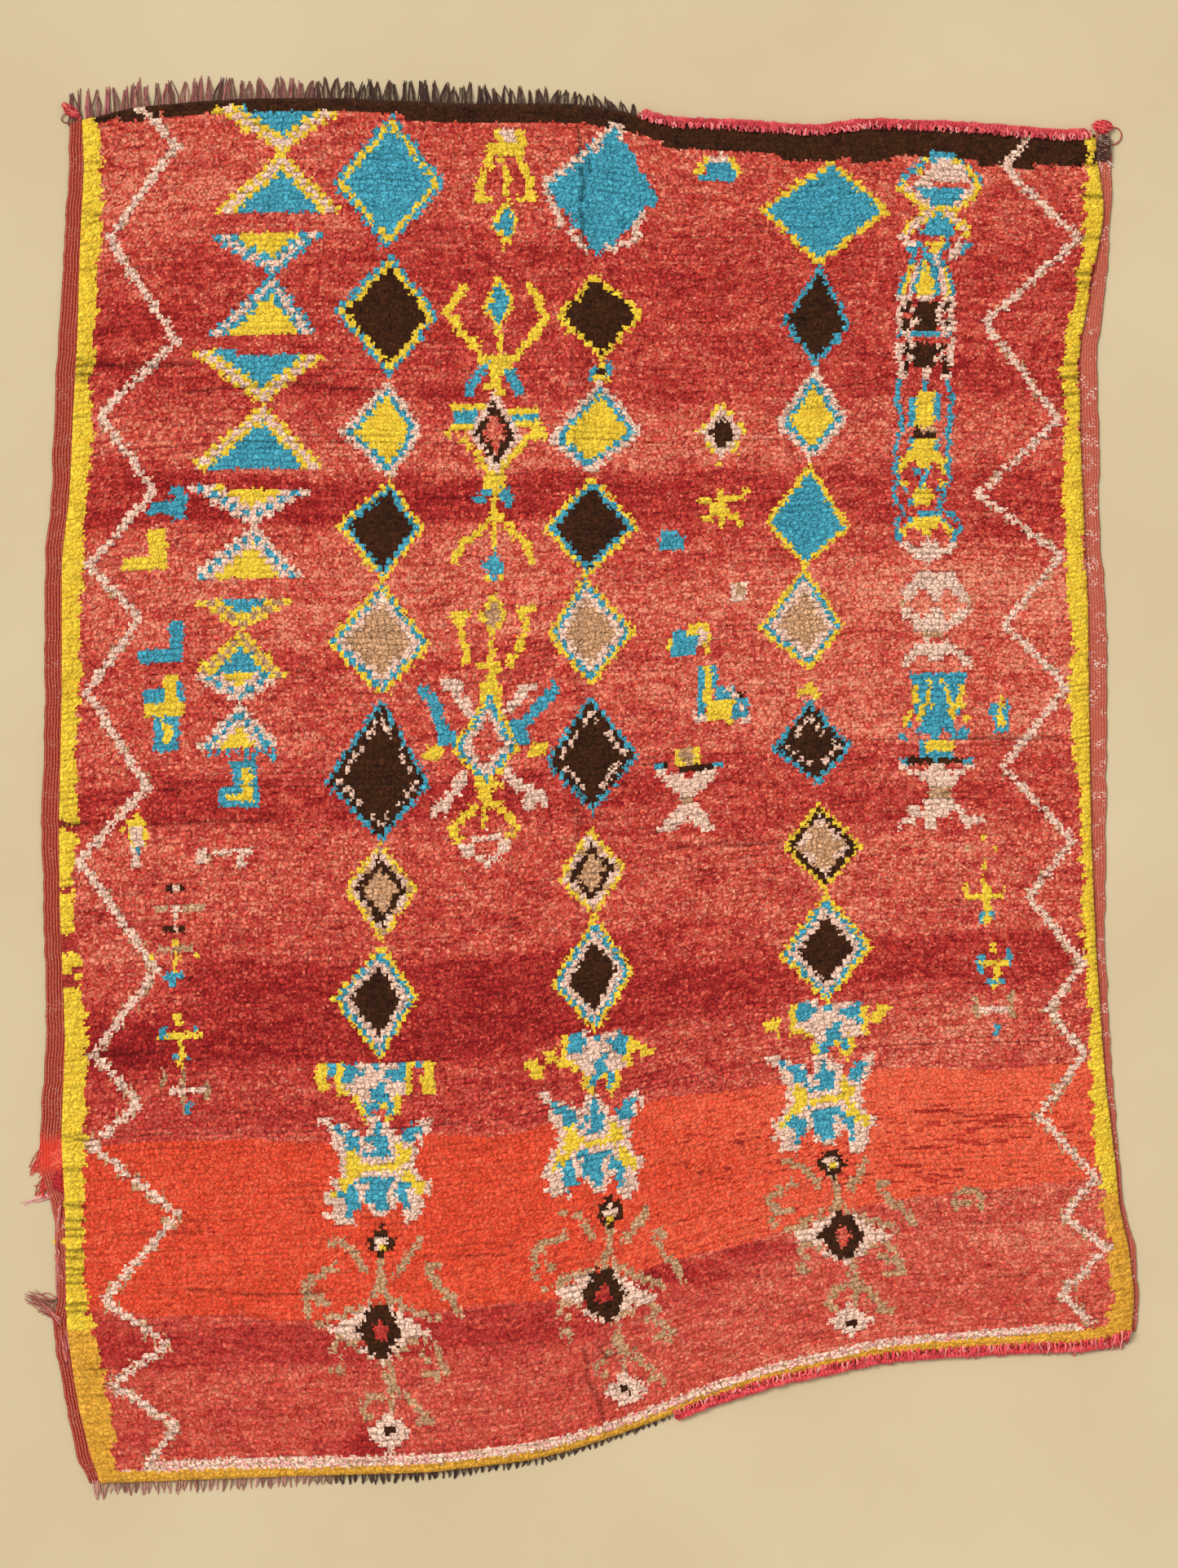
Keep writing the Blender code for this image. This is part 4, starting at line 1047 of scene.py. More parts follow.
# Where a lot starts or stops short on its way across
LOT_PATCHES = (
    # middle across and down, half width and half height, in pixels, and the change in lightness
    (455, 1770, 34, 24, -0.30), (140, 326, 60, 30, 0.16), (150, 578, 90, 14, -0.32),
    (150, 616, 70, 18, 0.24), (150, 1212, 80, 44, 0.34), (140, 1296, 60, 22, -0.22),
    (150, 446, 50, 12, -0.22), (560, 410, 60, 12, -0.20), (560, 482, 60, 12, -0.16),
    (640, 230, 40, 30, -0.12), (1235, 650, 60, 16, -0.16), (860, 338, 60, 26, -0.08),
    (1200, 1250, 60, 26, 0.12), (1250, 1520, 80, 24, 0.12), (190, 250, 90, 40, 0.12),
    (200, 320, 90, 22, -0.14), (190, 395, 100, 26, -0.16), (840, 1560, 60, 14, -0.26),
    (930, 1535, 60, 14, -0.26),
)
FIELD_REDS = ("#841618", "#AE2F29", "#CD5544", "#E98F73")
BRIGHT_REDS = ("#B22C1C", "#DA472C", "#EA6B4C")
BRIGHT_BAND = (
    # across in pixels, and the rows where the bright wool starts and stops, as shares up the cloth
    (60, 0.124, 0.2445), (230, 0.122, 0.2440), (330, 0.113, 0.2435), (530, 0.113, 0.2430),
    (900, 0.113, 0.2350), (1000, 0.118, 0.2335), (1200, 0.131, 0.2310), (1350, 0.134, 0.2290),
)

patch = cloud(face_x, face_y, 0.35, 0.09, 41)
streak_wide = cloud(face_x, face_y, 0.045, 0.009, 42)
streak_fine = cloud(face_x, face_y, 0.016, 0.0045, 43)
ends = cloud(face_x, face_y, 0.0050, 0.0036, 44)
single = slack.normal(0, 1, dyed.shape)
# Knots don't line up from row to row, and some are broad: each row's count of faces slips sideways
slip = 1.5 + 1.5 * cloud(row_x, row_y, 0.045, 0.0098, 46)
knot_of = (np.arange(face_columns)[None, :] + slip.astype(int)) // ENDS
tones = slack.normal(0, 1, (KNOT_ROWS, KNOT_COLUMNS + 2))
knot_tone = np.repeat(tones[np.arange(KNOT_ROWS)[:, None], knot_of], ENDS, 0)
face_t = (share_up[:-1] + share_up[1:]) / 2 + 0.004 * cloud(face_x, face_y, 0.12, 0.2, 45)


def between(colours, level):
    """Linear colours at levels from 0 to 1, evenly spaced along a list of hex values."""
    stops = np.array([linear(code) for code in colours])
    at = np.linspace(0, 1, len(stops))
    return np.stack([np.interp(level, at, stops[:, k]) for k in range(3)], -1)


to_right = np.clip((face_x + 0.02) / 0.36, 0, 1)
lot = straight(ABRASH_LEFT, face_t) * (1 - to_right) + straight(ABRASH_RIGHT, face_t) * to_right
for spot_across, spot_down, half_wide, half_high, change in LOT_PATCHES:
    spot_x, spot_y = to_metres(spot_across, spot_down)
    off = ((face_x - spot_x) / (half_wide * PIXEL)) ** 2 + ((face_y - spot_y) / (half_high * PIXEL)) ** 2
    lot = lot + change * np.exp(-(off**2))
calm = 1 - 0.35 * np.clip((-0.35 - face_y) / 0.3, 0, 1)  # the foot is more evenly dyed and combed
grain = 0.12 * streak_wide + 0.12 * streak_fine + 0.19 * ends + 0.15 * single + 0.04 * knot_tone
level = lot + 0.06 * patch + calm * grain
pile_colour = between(FIELD_REDS, np.clip(level, 0, 1))
bright = (face_t > straight(BRIGHT_BAND, face_across)) & (face_t < straight(BRIGHT_BAND, face_across, 2))
# a few picks of the deep red were woven in among the bright ones, in short lengths
dashes = cloud(face_x, face_y, 0.020, 0.0034, 47) + 0.5 * cloud(face_x, face_y, 0.3, 0.03, 48)
dashed = bright & (dashes > 1.0 - 0.2 * np.clip(face_x / 0.4, -1, 1))
bright_level = 0.5 + 0.25 * to_right + 0.06 * patch + 0.10 * streak_fine + 0.14 * ends + 0.12 * single
pile_colour[bright] = between(BRIGHT_REDS, np.clip(bright_level, 0, 1))[bright]
pile_colour[dashed] = between(("#8E2019", "#BC3A2A"), np.clip(bright_level, 0, 1))[dashed]
dye_level = 0.52 + 0.06 * patch + 0.08 * streak_fine + 0.14 * ends + 0.14 * single + 0.06 * knot_tone
for dye in DYES[1:]:
    chosen = dyed == DYES.index(dye)
    pile_colour[chosen] = between(WOOLS[dye][:2], np.clip(dye_level, 0, 1))[chosen]

# How dark the painted shade is in the crevices between knots, and how much painted shade rings them as
# single beads
crevice_shade = wool(CREVICE_SHADE, dyed)
crevice_shade[bright & (dyed == 0)] = 0.4
crevice_shade *= 1 - 0.35 * np.clip((-0.58 - face_y) / 0.1, 0, 1)  # combed softer at the foot
bead_shade_strength = wool(BEAD_SHADE, dyed)
bead_shade_strength[bright & (dyed == 0)] = 0.3

# Height of the pile: its full height, the cloth's slow waves and fold, and its drop at the ends
fold_x = read(FOLD_LINE, y, 1, 40.0)
waves = np.sin(7.1 * x + 3.0 * y) * np.cos(5.3 * y - 2.2 * x) + 0.6 * np.sin(13.0 * y + 4.0 * x)
fold = FOLD_RISE * (0.75 + 0.25 * np.sin(4.0 * y + 0.8))
z = PILE_TOP + WAVE_RISE * waves + fold * np.exp(-(((x - fold_x) / FOLD_HALF_WIDTH) ** 2))
CLOTH_LENGTH = 2.0
from_end = np.minimum(share_up, 1 - share_up) * CLOTH_LENGTH
z = z + (PILE_SHOULDER - z) * np.clip(1 - from_end / SHOULDER_RUN, 0, 1)
from_side = np.minimum(x - x[:, :1], x[:, -1:] - x)
z = z * (0.8 + 0.2 * np.clip(from_side / (6 * MM), 0, 1))

# White and yellow wool is thicker and stands proud; brown is corroded and worn low
stands = np.repeat(wool(PROUD, knots) * MM, ENDS, 0) + 0.5 * MM * knot_tone
below = np.clip(np.arange(up) - 1, 0, face_rows - 1)
above = np.clip(np.arange(up), 0, face_rows - 1)
before = np.clip(np.arange(along) - 1, 0, face_columns - 1)
after = np.clip(np.arange(along), 0, face_columns - 1)
lowest = np.minimum(
    np.minimum(stands[below][:, before], stands[below][:, after]),
    np.minimum(stands[above][:, before], stands[above][:, after]),
)

# Grooves between rows and between knots, deeper where the pile has parted
apart = np.repeat(wool(GROOVES, knots), ENDS, 0)
apart = np.maximum(apart[below][:, before], apart[above][:, after])
parting = np.clip(cloud(x, y, 0.05, 0.011, 51) - 0.35, 0, 1) / 0.65
uneven = 0.75 + 0.75 * cloud(x, y, 0.012, 0.0098, 53)
row_line = (np.arange(up) % ENDS == 0)[:, None]
knot_edge = np.zeros(x.shape)
knot_edge[:, 1:-1] = (np.diff(np.repeat(knot_of, ENDS, 0), axis=1) != 0)[above]
groove = ROW_GROOVE * row_line * (uneven * apart + 0.9 * parting)
groove = groove + WARP_GROOVE * knot_edge * (~row_line) * (0.5 + uneven) * apart

# Cracks where the cloth was folded, and longer partings along a few rows, in pixels. Their depth also sets
# the painted shade in them.
CRACKS = (
    # width, depth in mm, points
    (2.4, 3.2, (708, 156), (712, 176), (709, 196)), (2.6, 3.4, (712, 206), (716, 226), (712, 246)),
    (2.4, 3.2, (711, 256), (716, 272), (713, 296)), (2.0, 1.8, (722, 196), (725, 214)),
    (2.0, 1.8, (701, 430), (704, 452), (700, 474)), (2.0, 1.8, (704, 530), (707, 552)),
    (2.0, 1.6, (716, 512), (718, 534)), (2.0, 1.8, (706, 990), (711, 1012), (708, 1036)),
    (2.6, 2.6, (716, 1655), (722, 1672), (719, 1690), (727, 1706)),
    (2.4, 2.4, (728, 1700), (735, 1720), (740, 1742)), (2.2, 2.2, (736, 1652), (745, 1668)),
    (2.8, 2.6, (75, 450), (120, 448), (160, 450), (235, 447)), (2.4, 2.2, (405, 477), (470, 479)),
    (2.8, 2.6, (68, 1012), (108, 1010)), (2.2, 1.8, (180, 1013), (330, 1006)),
    (2.4, 2.0, (100, 1296), (200, 1290)), (2.4, 2.2, (230, 482), (290, 474), (400, 470)),
    (2.2, 2.0, (1180, 905), (1300, 905)), (2.2, 1.6, (820, 1040), (960, 1034)),
    (2.4, 3.4, (1320, 202), (1345, 202)), (2.4, 3.2, (1328, 241), (1356, 241)),
    (2.0, 2.2, (1325, 292), (1352, 291)), (2.4, 3.4, (1320, 336), (1340, 336)),
    (2.0, 2.4, (1318, 348), (1338, 348)), (2.2, 2.4, (1303, 446), (1323, 446)),
    (2.4, 3.6, (1303, 463), (1324, 464)), (2.0, 2.4, (1303, 483), (1324, 483)),
    (2.0, 2.2, (84, 442), (112, 442)), (2.4, 3.4, (84, 459), (112, 460)),
    (2.0, 2.0, (84, 468), (110, 468)), (2.0, 2.0, (96, 200), (124, 200)),
    (2.0, 1.8, (96, 262), (124, 263)), (2.0, 2.0, (92, 330), (120, 331)),
    (2.4, 3.6, (74, 1478), (104, 1480)), (2.4, 3.2, (74, 1497), (104, 1498)),
    (2.4, 3.4, (78, 1535), (102, 1535)), (2.2, 3.0, (76, 1556), (104, 1558)),
    (2.4, 3.6, (76, 1603), (106, 1600)), (2.0, 1.8, (140, 1516), (250, 1512)),
    (2.0, 1.8, (230, 1498), (250, 1497)), (2.2, 2.0, (230, 1582), (320, 1590)),
    (2.2, 2.0, (320, 1590), (410, 1584)), (2.0, 1.6, (520, 1542), (620, 1540)),
    (2.2, 2.8, (80, 1396), (104, 1398)), (2.2, 2.6, (72, 1435), (100, 1436)),
    (2.2, 3.0, (76, 1509), (100, 1508)), (2.2, 3.0, (80, 1517), (104, 1517)),
    (2.2, 2.8, (78, 1543), (102, 1545)), (2.2, 2.8, (78, 1565), (104, 1563)),
    (2.2, 2.8, (80, 1574), (104, 1574)), (2.2, 2.8, (78, 1611), (110, 1610)),
)
spot_x, spot_y = x / PIXEL + ORIGIN_ACROSS, ORIGIN_DOWN - y / PIXEL
crack = np.zeros(x.shape)
for wide, deep_mm, *points_of_line in CRACKS:
    from_crack = off_line(points_of_line, spot_x, spot_y)
    crack = np.maximum(crack, deep_mm * MM * np.clip(1.4 - from_crack / wide, 0, 1))
fuzz = slack.normal(0, 0.32 * MM, x.shape)
z = np.maximum(z + lowest - groove - crack + fuzz, 4.2 * MM)
# Painted shade for the grooves, partings and cracks, darker where they are deeper; the material reads it as
# the attribute depth
groove_shade = np.clip((groove + crack - fuzz) / (3.4 * MM), 0, 1)
pile_x = x + slack.normal(0, 0.35 * MM, x.shape) * (from_side > 0)
pile_y = y + slack.normal(0, 0.35 * MM, x.shape) * (from_end > 0)

# The knots' own map: one unit across for a knot and one up for a row, slipping sideways row by row
knot_across = share_along * KNOT_COLUMNS + 0.5 * cloud(x, y, 0.05, 0.010, 54)
knot_up = share_up * KNOT_ROWS + 0.16 * cloud(x, y, 0.03, 0.03, 55)
knot_place = np.stack((knot_across, knot_up), -1)

# Dyed wool pile: dull and soft, each knot a cushion of cut ends, with painted shade in the crevice round
# it.
# Single fibres are too fine to show, so the bump is of the 3 mm ends and of 1.5 mm strands.
pile_wool, tree = new_material("dyed_wool_pile")


def cells(tree, place, scale, randomness, socket, feature="F1"):
    """Flat cells about scattered points: their distance from a point or an edge, or a tone each."""
    sockets = {"Vector": place, "Scale": scale, "Randomness": randomness}
    made = add(tree, "ShaderNodeTexVoronoi", sockets, voronoi_dimensions="2D", feature=feature)
    return made.outputs[socket]


def product(tree, factors):
    """All the values multiplied together."""
    whole = factors[0]
    for factor in factors[1:]:
        whole = of(tree, "MULTIPLY", whole, factor)
    return whole


def toned(tree, colour, tone):
    """A colour made lighter or darker by a tone."""
    made = add(tree, "ShaderNodeVectorMath", {0: colour}, operation="SCALE")
    tree.links.new(tone, made.inputs["Scale"])
    return made.outputs["Vector"]


place = add(tree, "ShaderNodeTexCoord").outputs["Object"]
knot_map = add(tree, "ShaderNodeUVMap", uv_map="knots").outputs["UV"]
sway = noise(tree, knot_map, 0.9, socket="Color")
swayed = add(
    tree, "ShaderNodeVectorMath", {0: sway, 1: (1.1, 0.8, 0.0), 2: knot_map}, operation="MULTIPLY_ADD"
).outputs["Vector"]
set_knots = scaled(tree, swayed, 1.4, 1.32)
crevice = cells(tree, set_knots, 1.0, 0.85, "Distance", "DISTANCE_TO_EDGE")
from_cut_end = cells(tree, swayed, 3.0, 1.0, "Distance")
how_open = ranged(tree, noise(tree, knot_map, 0.45, 1.0), 0.3, 0.7, 0.2, 1.7)
crevice_shade_strength = of(tree, "MULTIPLY", stored(tree, "apart"), how_open)
bead_edge = cells(tree, scaled(tree, swayed, 1.0, 1.1), 1.0, 0.65, "Distance", "DISTANCE_TO_EDGE")
fibre = noise(tree, place, 620.0)
# The fibre and cell tones are the wool's own. The groove depth, the crevices round knots, the bead edges
# and the borders of cut ends are painted shade, and the middles of cut ends a painted highlight.
tones = (
    ranged(tree, fibre, 0.3, 0.7, 0.9, 1.24),
    ranged(tree, stored(tree, "depth"), 0.05, 0.9, 1.05, 0.42),
    of(tree, "POWER", ranged(tree, crevice, 0.0, 0.15, 0.38, 1.1), crevice_shade_strength),
    of(tree, "POWER", ranged(tree, bead_edge, 0.01, 0.12, 0.34, 1.06), stored(tree, "bead_shade")),
    ranged(tree, cells(tree, set_knots, 1.0, 0.85, "Color"), 0.0, 1.0, 0.93, 1.07),
    ranged(tree, cells(tree, swayed, 3.0, 1.0, "Color"), 0.0, 1.0, 0.82, 1.22),
    ranged(tree, from_cut_end, 0.15, 0.75, 1.14, 0.84),
)
cushion = ranged(tree, crevice, 0.0, 0.22, 0.0, 2.0)
coat(
    tree,
    toned(tree, stored(tree, "dye", "Color"), product(tree, tones)),
    {"Roughness": 0.9, "Specular IOR Level": 0.1, "Sheen Weight": 0.05, "Sheen Roughness": 0.5},
    of(tree, "ADD", of(tree, "SUBTRACT", cushion, from_cut_end), fibre),
    0.6,
    0.0012,
)

# The pile is made in four lengths, split between rows, each closed down into the ground
PILE_FOOT = 2.6 * MM
LENGTHS = 4
for length in range(LENGTHS):
    first, last = (k * KNOT_ROWS // LENGTHS * ENDS for k in (length, length + 1))
    rows = last - first + 1
    here, faces_here = slice(first, last + 1), slice(first, last)
    top = np.stack((pile_x[here], pile_y[here], z[here]), -1).reshape(-1, 3)
    edge = rim(rows, along)
    foot = top[edge] * (1, 1, 0) + (0, 0, PILE_FOOT)
    foot_at = len(top) + np.arange(len(edge))
    faces = [grid_faces(rows, along), skirt(edge, foot_at), foot_at[::-1][None, :]]
    name = f"pile_length_{length + 1}"
    piece = new_piece(name, np.vstack((top, foot)), faces, pile_wool, None)
    near = np.minimum(edge // along, rows - 2) * face_columns + np.minimum(edge % along, along - 2)
    colours = pile_colour[faces_here].reshape(-1, 3)
    dye_faces(piece, np.vstack((colours, colours[near], colours[:1])))
    for name, values, under in (("apart", crevice_shade, 0.5), ("bead_shade", bead_shade_strength, 0.0)):
        values = values[faces_here].ravel()
        mark(piece, name, np.concatenate((values, values[near], [under])), "FACE")
    # The pile's sides get painted shade too, through a depth of 0.8
    mark(piece, "depth", np.concatenate((groove_shade[here].ravel(), np.full(len(edge), 0.8))))
    spots = knot_place[here].reshape(-1, 2)
    lay_map(piece, "knots", np.vstack((spots, spots[edge])))

# The knots' backs, on the ground's underside, show the same dyes flatter and paler
BACK_LEVEL = 0.6
back = between(FIELD_REDS, np.clip(lot[1::ENDS, 1::ENDS], 0, 1))
for dye in DYES[1:]:
    back[knots[:, 1::ENDS] == DYES.index(dye)] = between(WOOLS[dye][:2], BACK_LEVEL)
under_colour = np.tile(linear("#A33B31"), (KNOT_ROWS, ground_columns - 1, 1))
under_colour[:, SELVAGE_COLUMNS:-SELVAGE_COLUMNS] = back
ground_colour = np.tile(linear("#A33B31"), (len(ground.data.polygons), 1))
under_first, under_last = len(ground_faces[0]), len(ground_faces[0]) + len(under_faces)
ground_colour[under_first:under_last] = under_colour.reshape(-1, 3)
dye_faces(ground, ground_colour)

# Backs of knots between packed wefts: flat, matt and ridged once for every row.
knot_backs, tree = new_material("knot_backs_in_wool_weft")
place = add(tree, "ShaderNodeTexCoord").outputs["Object"]
waves = {"Vector": place, "Scale": 32.0, "Distortion": 1.2, "Detail": 2.0}
rows_of_backs = add(tree, "ShaderNodeTexWave", waves, bands_direction="Y").outputs["Fac"]
coat(
    tree,
    mixed(tree, 0.25, stored(tree, "dye", "Color"), paint("#8A3A30")),
    {"Roughness": 0.95, "Specular IOR Level": 0.15},
    of(tree, "MULTIPLY", rows_of_backs, noise(tree, place, 500.0)),
    0.6,
)
ground.data.materials.append(knot_backs)
finish_of = np.zeros(len(ground.data.polygons), np.int32)
finish_of[under_first:under_last] = 1
ground.data.polygons.foreach_set("material_index", finish_of)

# The fringes
# Warp ends of handspun wool, cut free of the loom and left to curl: reddish brown at the left
# of the top, nearly black further along and at the bottom. Each grows out of the cloth's edge.
YARN_SIDES = 6


def yarns(name, paths, thick, colours, replaced, twist=0.0022):
    """Two-ply yarns, each along a path (yarn, step, xyz), closed at both ends.

    Square to the path lies a round of radius r (1 + 0.22 cos 2(a - 2 pi length / twist)).
    colours holds a linear colour for each yarn, and its plies are painted lighter and darker in turn, as
    painted highlight and shade.
    """
    way = np.gradient(paths, axis=1)
    way /= np.linalg.norm(way, axis=2, keepdims=True)
    side = np.cross(way, (0.0, 0.0, 1.0))
    side /= np.maximum(np.linalg.norm(side, axis=2, keepdims=True), 1e-6)
    over = np.cross(side, way)
    steps = np.linalg.norm(np.diff(paths, axis=1), axis=2)
    length = np.concatenate((np.zeros((len(paths), 1)), np.cumsum(steps, 1)), 1)[..., None]
    angle = np.arange(YARN_SIDES) * 2 * np.pi / YARN_SIDES
    radius = thick[..., None] * (1 + 0.22 * np.cos(2 * (angle - 2 * np.pi * length / twist)))
    ring = np.cos(angle)[:, None] * side[:, :, None] + np.sin(angle)[:, None] * over[:, :, None]
    points = paths[:, :, None] + radius[..., None] * ring
    points[..., 2] = np.maximum(points[..., 2], 0.0)
    count, rings = paths.shape[:2]
    at = np.arange(count * rings * YARN_SIDES).reshape(count, rings, YARN_SIDES)
    turned = np.roll(at, -1, 2)
    tube = np.stack((at[:, :-1], at[:, 1:], turned[:, 1:], turned[:, :-1]), -1).reshape(-1, 4)
    made = new_piece(name, points.reshape(-1, 3), [tube, at[:, 0], at[:, -1, ::-1]], spun, replaced)
    # Painted highlight and shade: lighter on one side of the yarn and darker on the other, turning with the
    # twist
    ply = 0.5 + 0.5 * np.cos(angle[None, None, :] + 2 * np.pi * length[:, :-1] / twist)
    shade = (0.72 + 0.5 * ply)[..., None] * colours[:, None, None, :]
    ends_of = np.vstack((colours * 0.7, colours))
    dye_faces(made, np.vstack((shade.reshape(-1, 3), ends_of)))
    return made


# Handspun wool yarn: matt and a little hairy; its plies carry painted highlight and shade in turn, in the
# yarns' dye.
spun, tree = new_material("handspun_wool_yarn")
place = add(tree, "ShaderNodeTexCoord").outputs["Object"]
hair = noise(tree, place, 900.0)
coat(
    tree,
    toned(tree, stored(tree, "dye", "Color"), ranged(tree, hair, 0.3, 0.7, 0.8, 1.2)),
    {"Roughness": 0.88, "Specular IOR Level": 0.2, "Sheen Weight": 0.15},
    hair,
    distance=0.0006,
)

TOP_REACH = (
    # across, reach past the cloth, in mm
    (-752, 46), (-722, 50), (-700, 49), (-562, 40), (-347, 34), (-170, 36), (-10, 24), (84, 15),
)
BOTTOM_REACH = (
    # across, reach past the cloth, in mm
    (-714, 29), (-690, 23), (-400, 21), (-370, 18), (-270, 17), (-131, 14), (37, 10), (132, 7),
)


def fringe(name, end, way, reach, count, clump, pull, lean, hook, seed, colour_of):
    """Warp ends side by side along one end of the cloth, which cling together in clumps. From its
    root inside the edge, each runs out by reach k, sideways towards its clump's tip by
    pull k^1.3 of the way there, and by hook sin(pi k), with k from 0 to 1."""
    chance = np.random.default_rng(seed)
    low, high = reach[0][0] * MM, reach[-1][0] * MM
    root_x = np.linspace(low, high, count) + chance.normal(0, 0.9 * MM, count)
    root_y = read(end, root_x)
    clumps = int((high - low) / (clump * MM)) + 2
    member = ((root_x - low) / (clump * MM) + chance.normal(0, 0.12, count)).astype(int)
    member = np.clip(member, 0, clumps - 1)
    tip_x = low + (member + 0.5) * clump * MM + chance.normal(0, lean * MM, clumps)[member]
    clump_reach = chance.uniform(0.72, 1.0, clumps)[member]
    clump_tone = chance.uniform(0, 1, clumps)[member]
    k = np.linspace(0, 1, 10)[None, :]
    out = (read(reach, root_x) * clump_reach * chance.uniform(0.8, 1.04, count))[:, None]
    towards = (tip_x - root_x)[:, None] * pull * k**1.3
    bend = hook * MM * chance.normal(0, 1, (count, 1))
    path_x = root_x[:, None] + towards + bend * np.sin(np.pi * k) + 0.4 * bend * np.sin(5 * k)
    path_y = root_y[:, None] + way * (out * k - 5 * MM * (1 - k))
    rise = chance.uniform(0.0, 3.0, (count, 1)) * MM * np.sin(np.pi * np.clip(k * 1.2, 0, 1))
    thick = (1.2 * MM * chance.uniform(0.75, 1.15, (count, 1))) * (1 - 0.5 * k**3)
    path_z = 2.4 * MM * (1 - k) ** 2 + thick + rise
    tone_of = 0.5 * clump_tone + 0.5 * chance.uniform(0, 1, count)
    paths = np.stack((path_x, path_y, path_z), -1)
    return yarns(name + "_yarns", paths, thick, colour_of(root_x, tone_of), name)


def warp_colours(turn, run, left, right):
    """A rule for a fringe's colours: the left shades give way to the right ones from `turn`
    metres across, over `run` metres."""

    def colour_of(at, tone_of):
        """Each warp end's colour, from its place across and its tone."""
        dark = np.clip((at - turn) / run, 0, 1)[:, None]
        return between(left, tone_of) * (1 - dark) + between(right, tone_of) * dark

    return colour_of


# Reddish brown and then nearly black at the top, brownish pink and then dark brown at the bottom
top_warps = warp_colours(-0.46, 0.12, ("#4F2B24", "#8F5A50", "#C0686A"), ("#2B1813", "#5B3A2C"))
bottom_warps = warp_colours(-0.42, 0.08, ("#6B3E33", "#B97B6B", "#D2A08E"), ("#26150F", "#573626"))
top_fringe = fringe(
    "top_fringe", TOP_END, way=1, reach=TOP_REACH, count=300, clump=12.5, pull=0.62, lean=5.5,
    hook=1.6, seed=3, colour_of=top_warps,
)
bottom_fringe = fringe(
    "bottom_fringe", BOTTOM_END, way=-1, reach=BOTTOM_REACH, count=230, clump=9.8, pull=0.7, lean=2.0,
    hook=1.0, seed=8, colour_of=bottom_warps,
)

# The whipped ends
# The right half of each end has no fringe: the warps are turned back and bound over with
# thick pink wool, turn beside turn, brushed until it is fluffy.
ROLL_RADIUS = 5.6 * MM
ROLL_SIDES = 16
TURN = 5.5 * MM  # along the edge for each turn of the wool


def whipping(name, end, span, way, seed, shades, replaced):
    """A roll round the cloth's edge: radius R (1 + 0.10 cos(2 pi length / turn + a) + soft lumps),
    carried along the edge at R outside it, and drawn in to nothing at both ends."""
    count = int((span[1] - span[0]) / 1.25)
    at = np.linspace(span[0], span[1], count) * MM
    edge_y = read(end, at)
    slope = np.gradient(edge_y, at)
    steep = np.hypot(1, slope)
    out = np.stack((-slope, np.ones(count)), -1) / steep[:, None] * way
    middle = np.stack((at, edge_y), -1) + out * (ROLL_RADIUS + 0.2 * MM)
    angle = (np.arange(ROLL_SIDES) * 2 * np.pi / ROLL_SIDES)[None, :]
    length = (at - at[0])[:, None]
    turns = np.cos(2 * np.pi * length / TURN + angle)
    fluff = cloud(length + 0 * angle, angle * ROLL_RADIUS, 0.009, 0.005, seed)
    fine = cloud(length + 0 * angle, angle * ROLL_RADIUS, 0.0028, 0.0025, seed + 1)
    closing = np.clip(np.minimum(length, length[-1] - length) / (5 * MM), 0.02, 1) ** 0.5
    radius = ROLL_RADIUS * (1 + 0.10 * turns + 0.28 * fluff + 0.12 * fine) * closing
    offset = radius * np.cos(angle)
    points = np.stack(
        (
            middle[:, :1] + out[:, :1] * offset,
            middle[:, 1:] + out[:, 1:] * offset,
            np.maximum(ROLL_RADIUS + radius * np.sin(angle), 0.2 * MM),
        ),
        -1,
    )
    index = np.arange(count * ROLL_SIDES).reshape(count, ROLL_SIDES)
    around = np.roll(index, -1, 1)
    tube = np.stack((index[:-1], around[:-1], around[1:], index[1:]), -1).reshape(-1, 4)
    caps = [index[:1, ::-1], index[-1:]]
    if way < 0:
        tube = tube[:, ::-1]
        caps = [index[:1], index[-1:, ::-1]]
    made = new_piece(name, points.reshape(-1, 3), [tube, *caps], spun, replaced)
    # Painted highlight where each turn and lump bulges out and painted shade in the gaps between turns,
    # over the pink wool's shades
    tone_of = 0.5 + 0.2 * turns + 0.25 * fluff + 0.3 * fine
    colours = between(shades, np.clip(tone_of[:-1].ravel(), 0, 1))
    dye_faces(made, np.vstack((colours, colours[:1], colours[-1:])))
    return made


top_whipping = whipping(
    "top_whipping", TOP_END, span=(92, 752), way=1, seed=61,
    shades=("#7E1C22", "#C0363E", "#E4686A"), replaced="top_overcast",
)
bottom_whipping = whipping(
    "bottom_whipping", BOTTOM_END, span=(140, 812), way=-1, seed=63,
    shades=("#8F1F24", "#D6383E", "#E86A6A"), replaced="bottom_overcast",
)


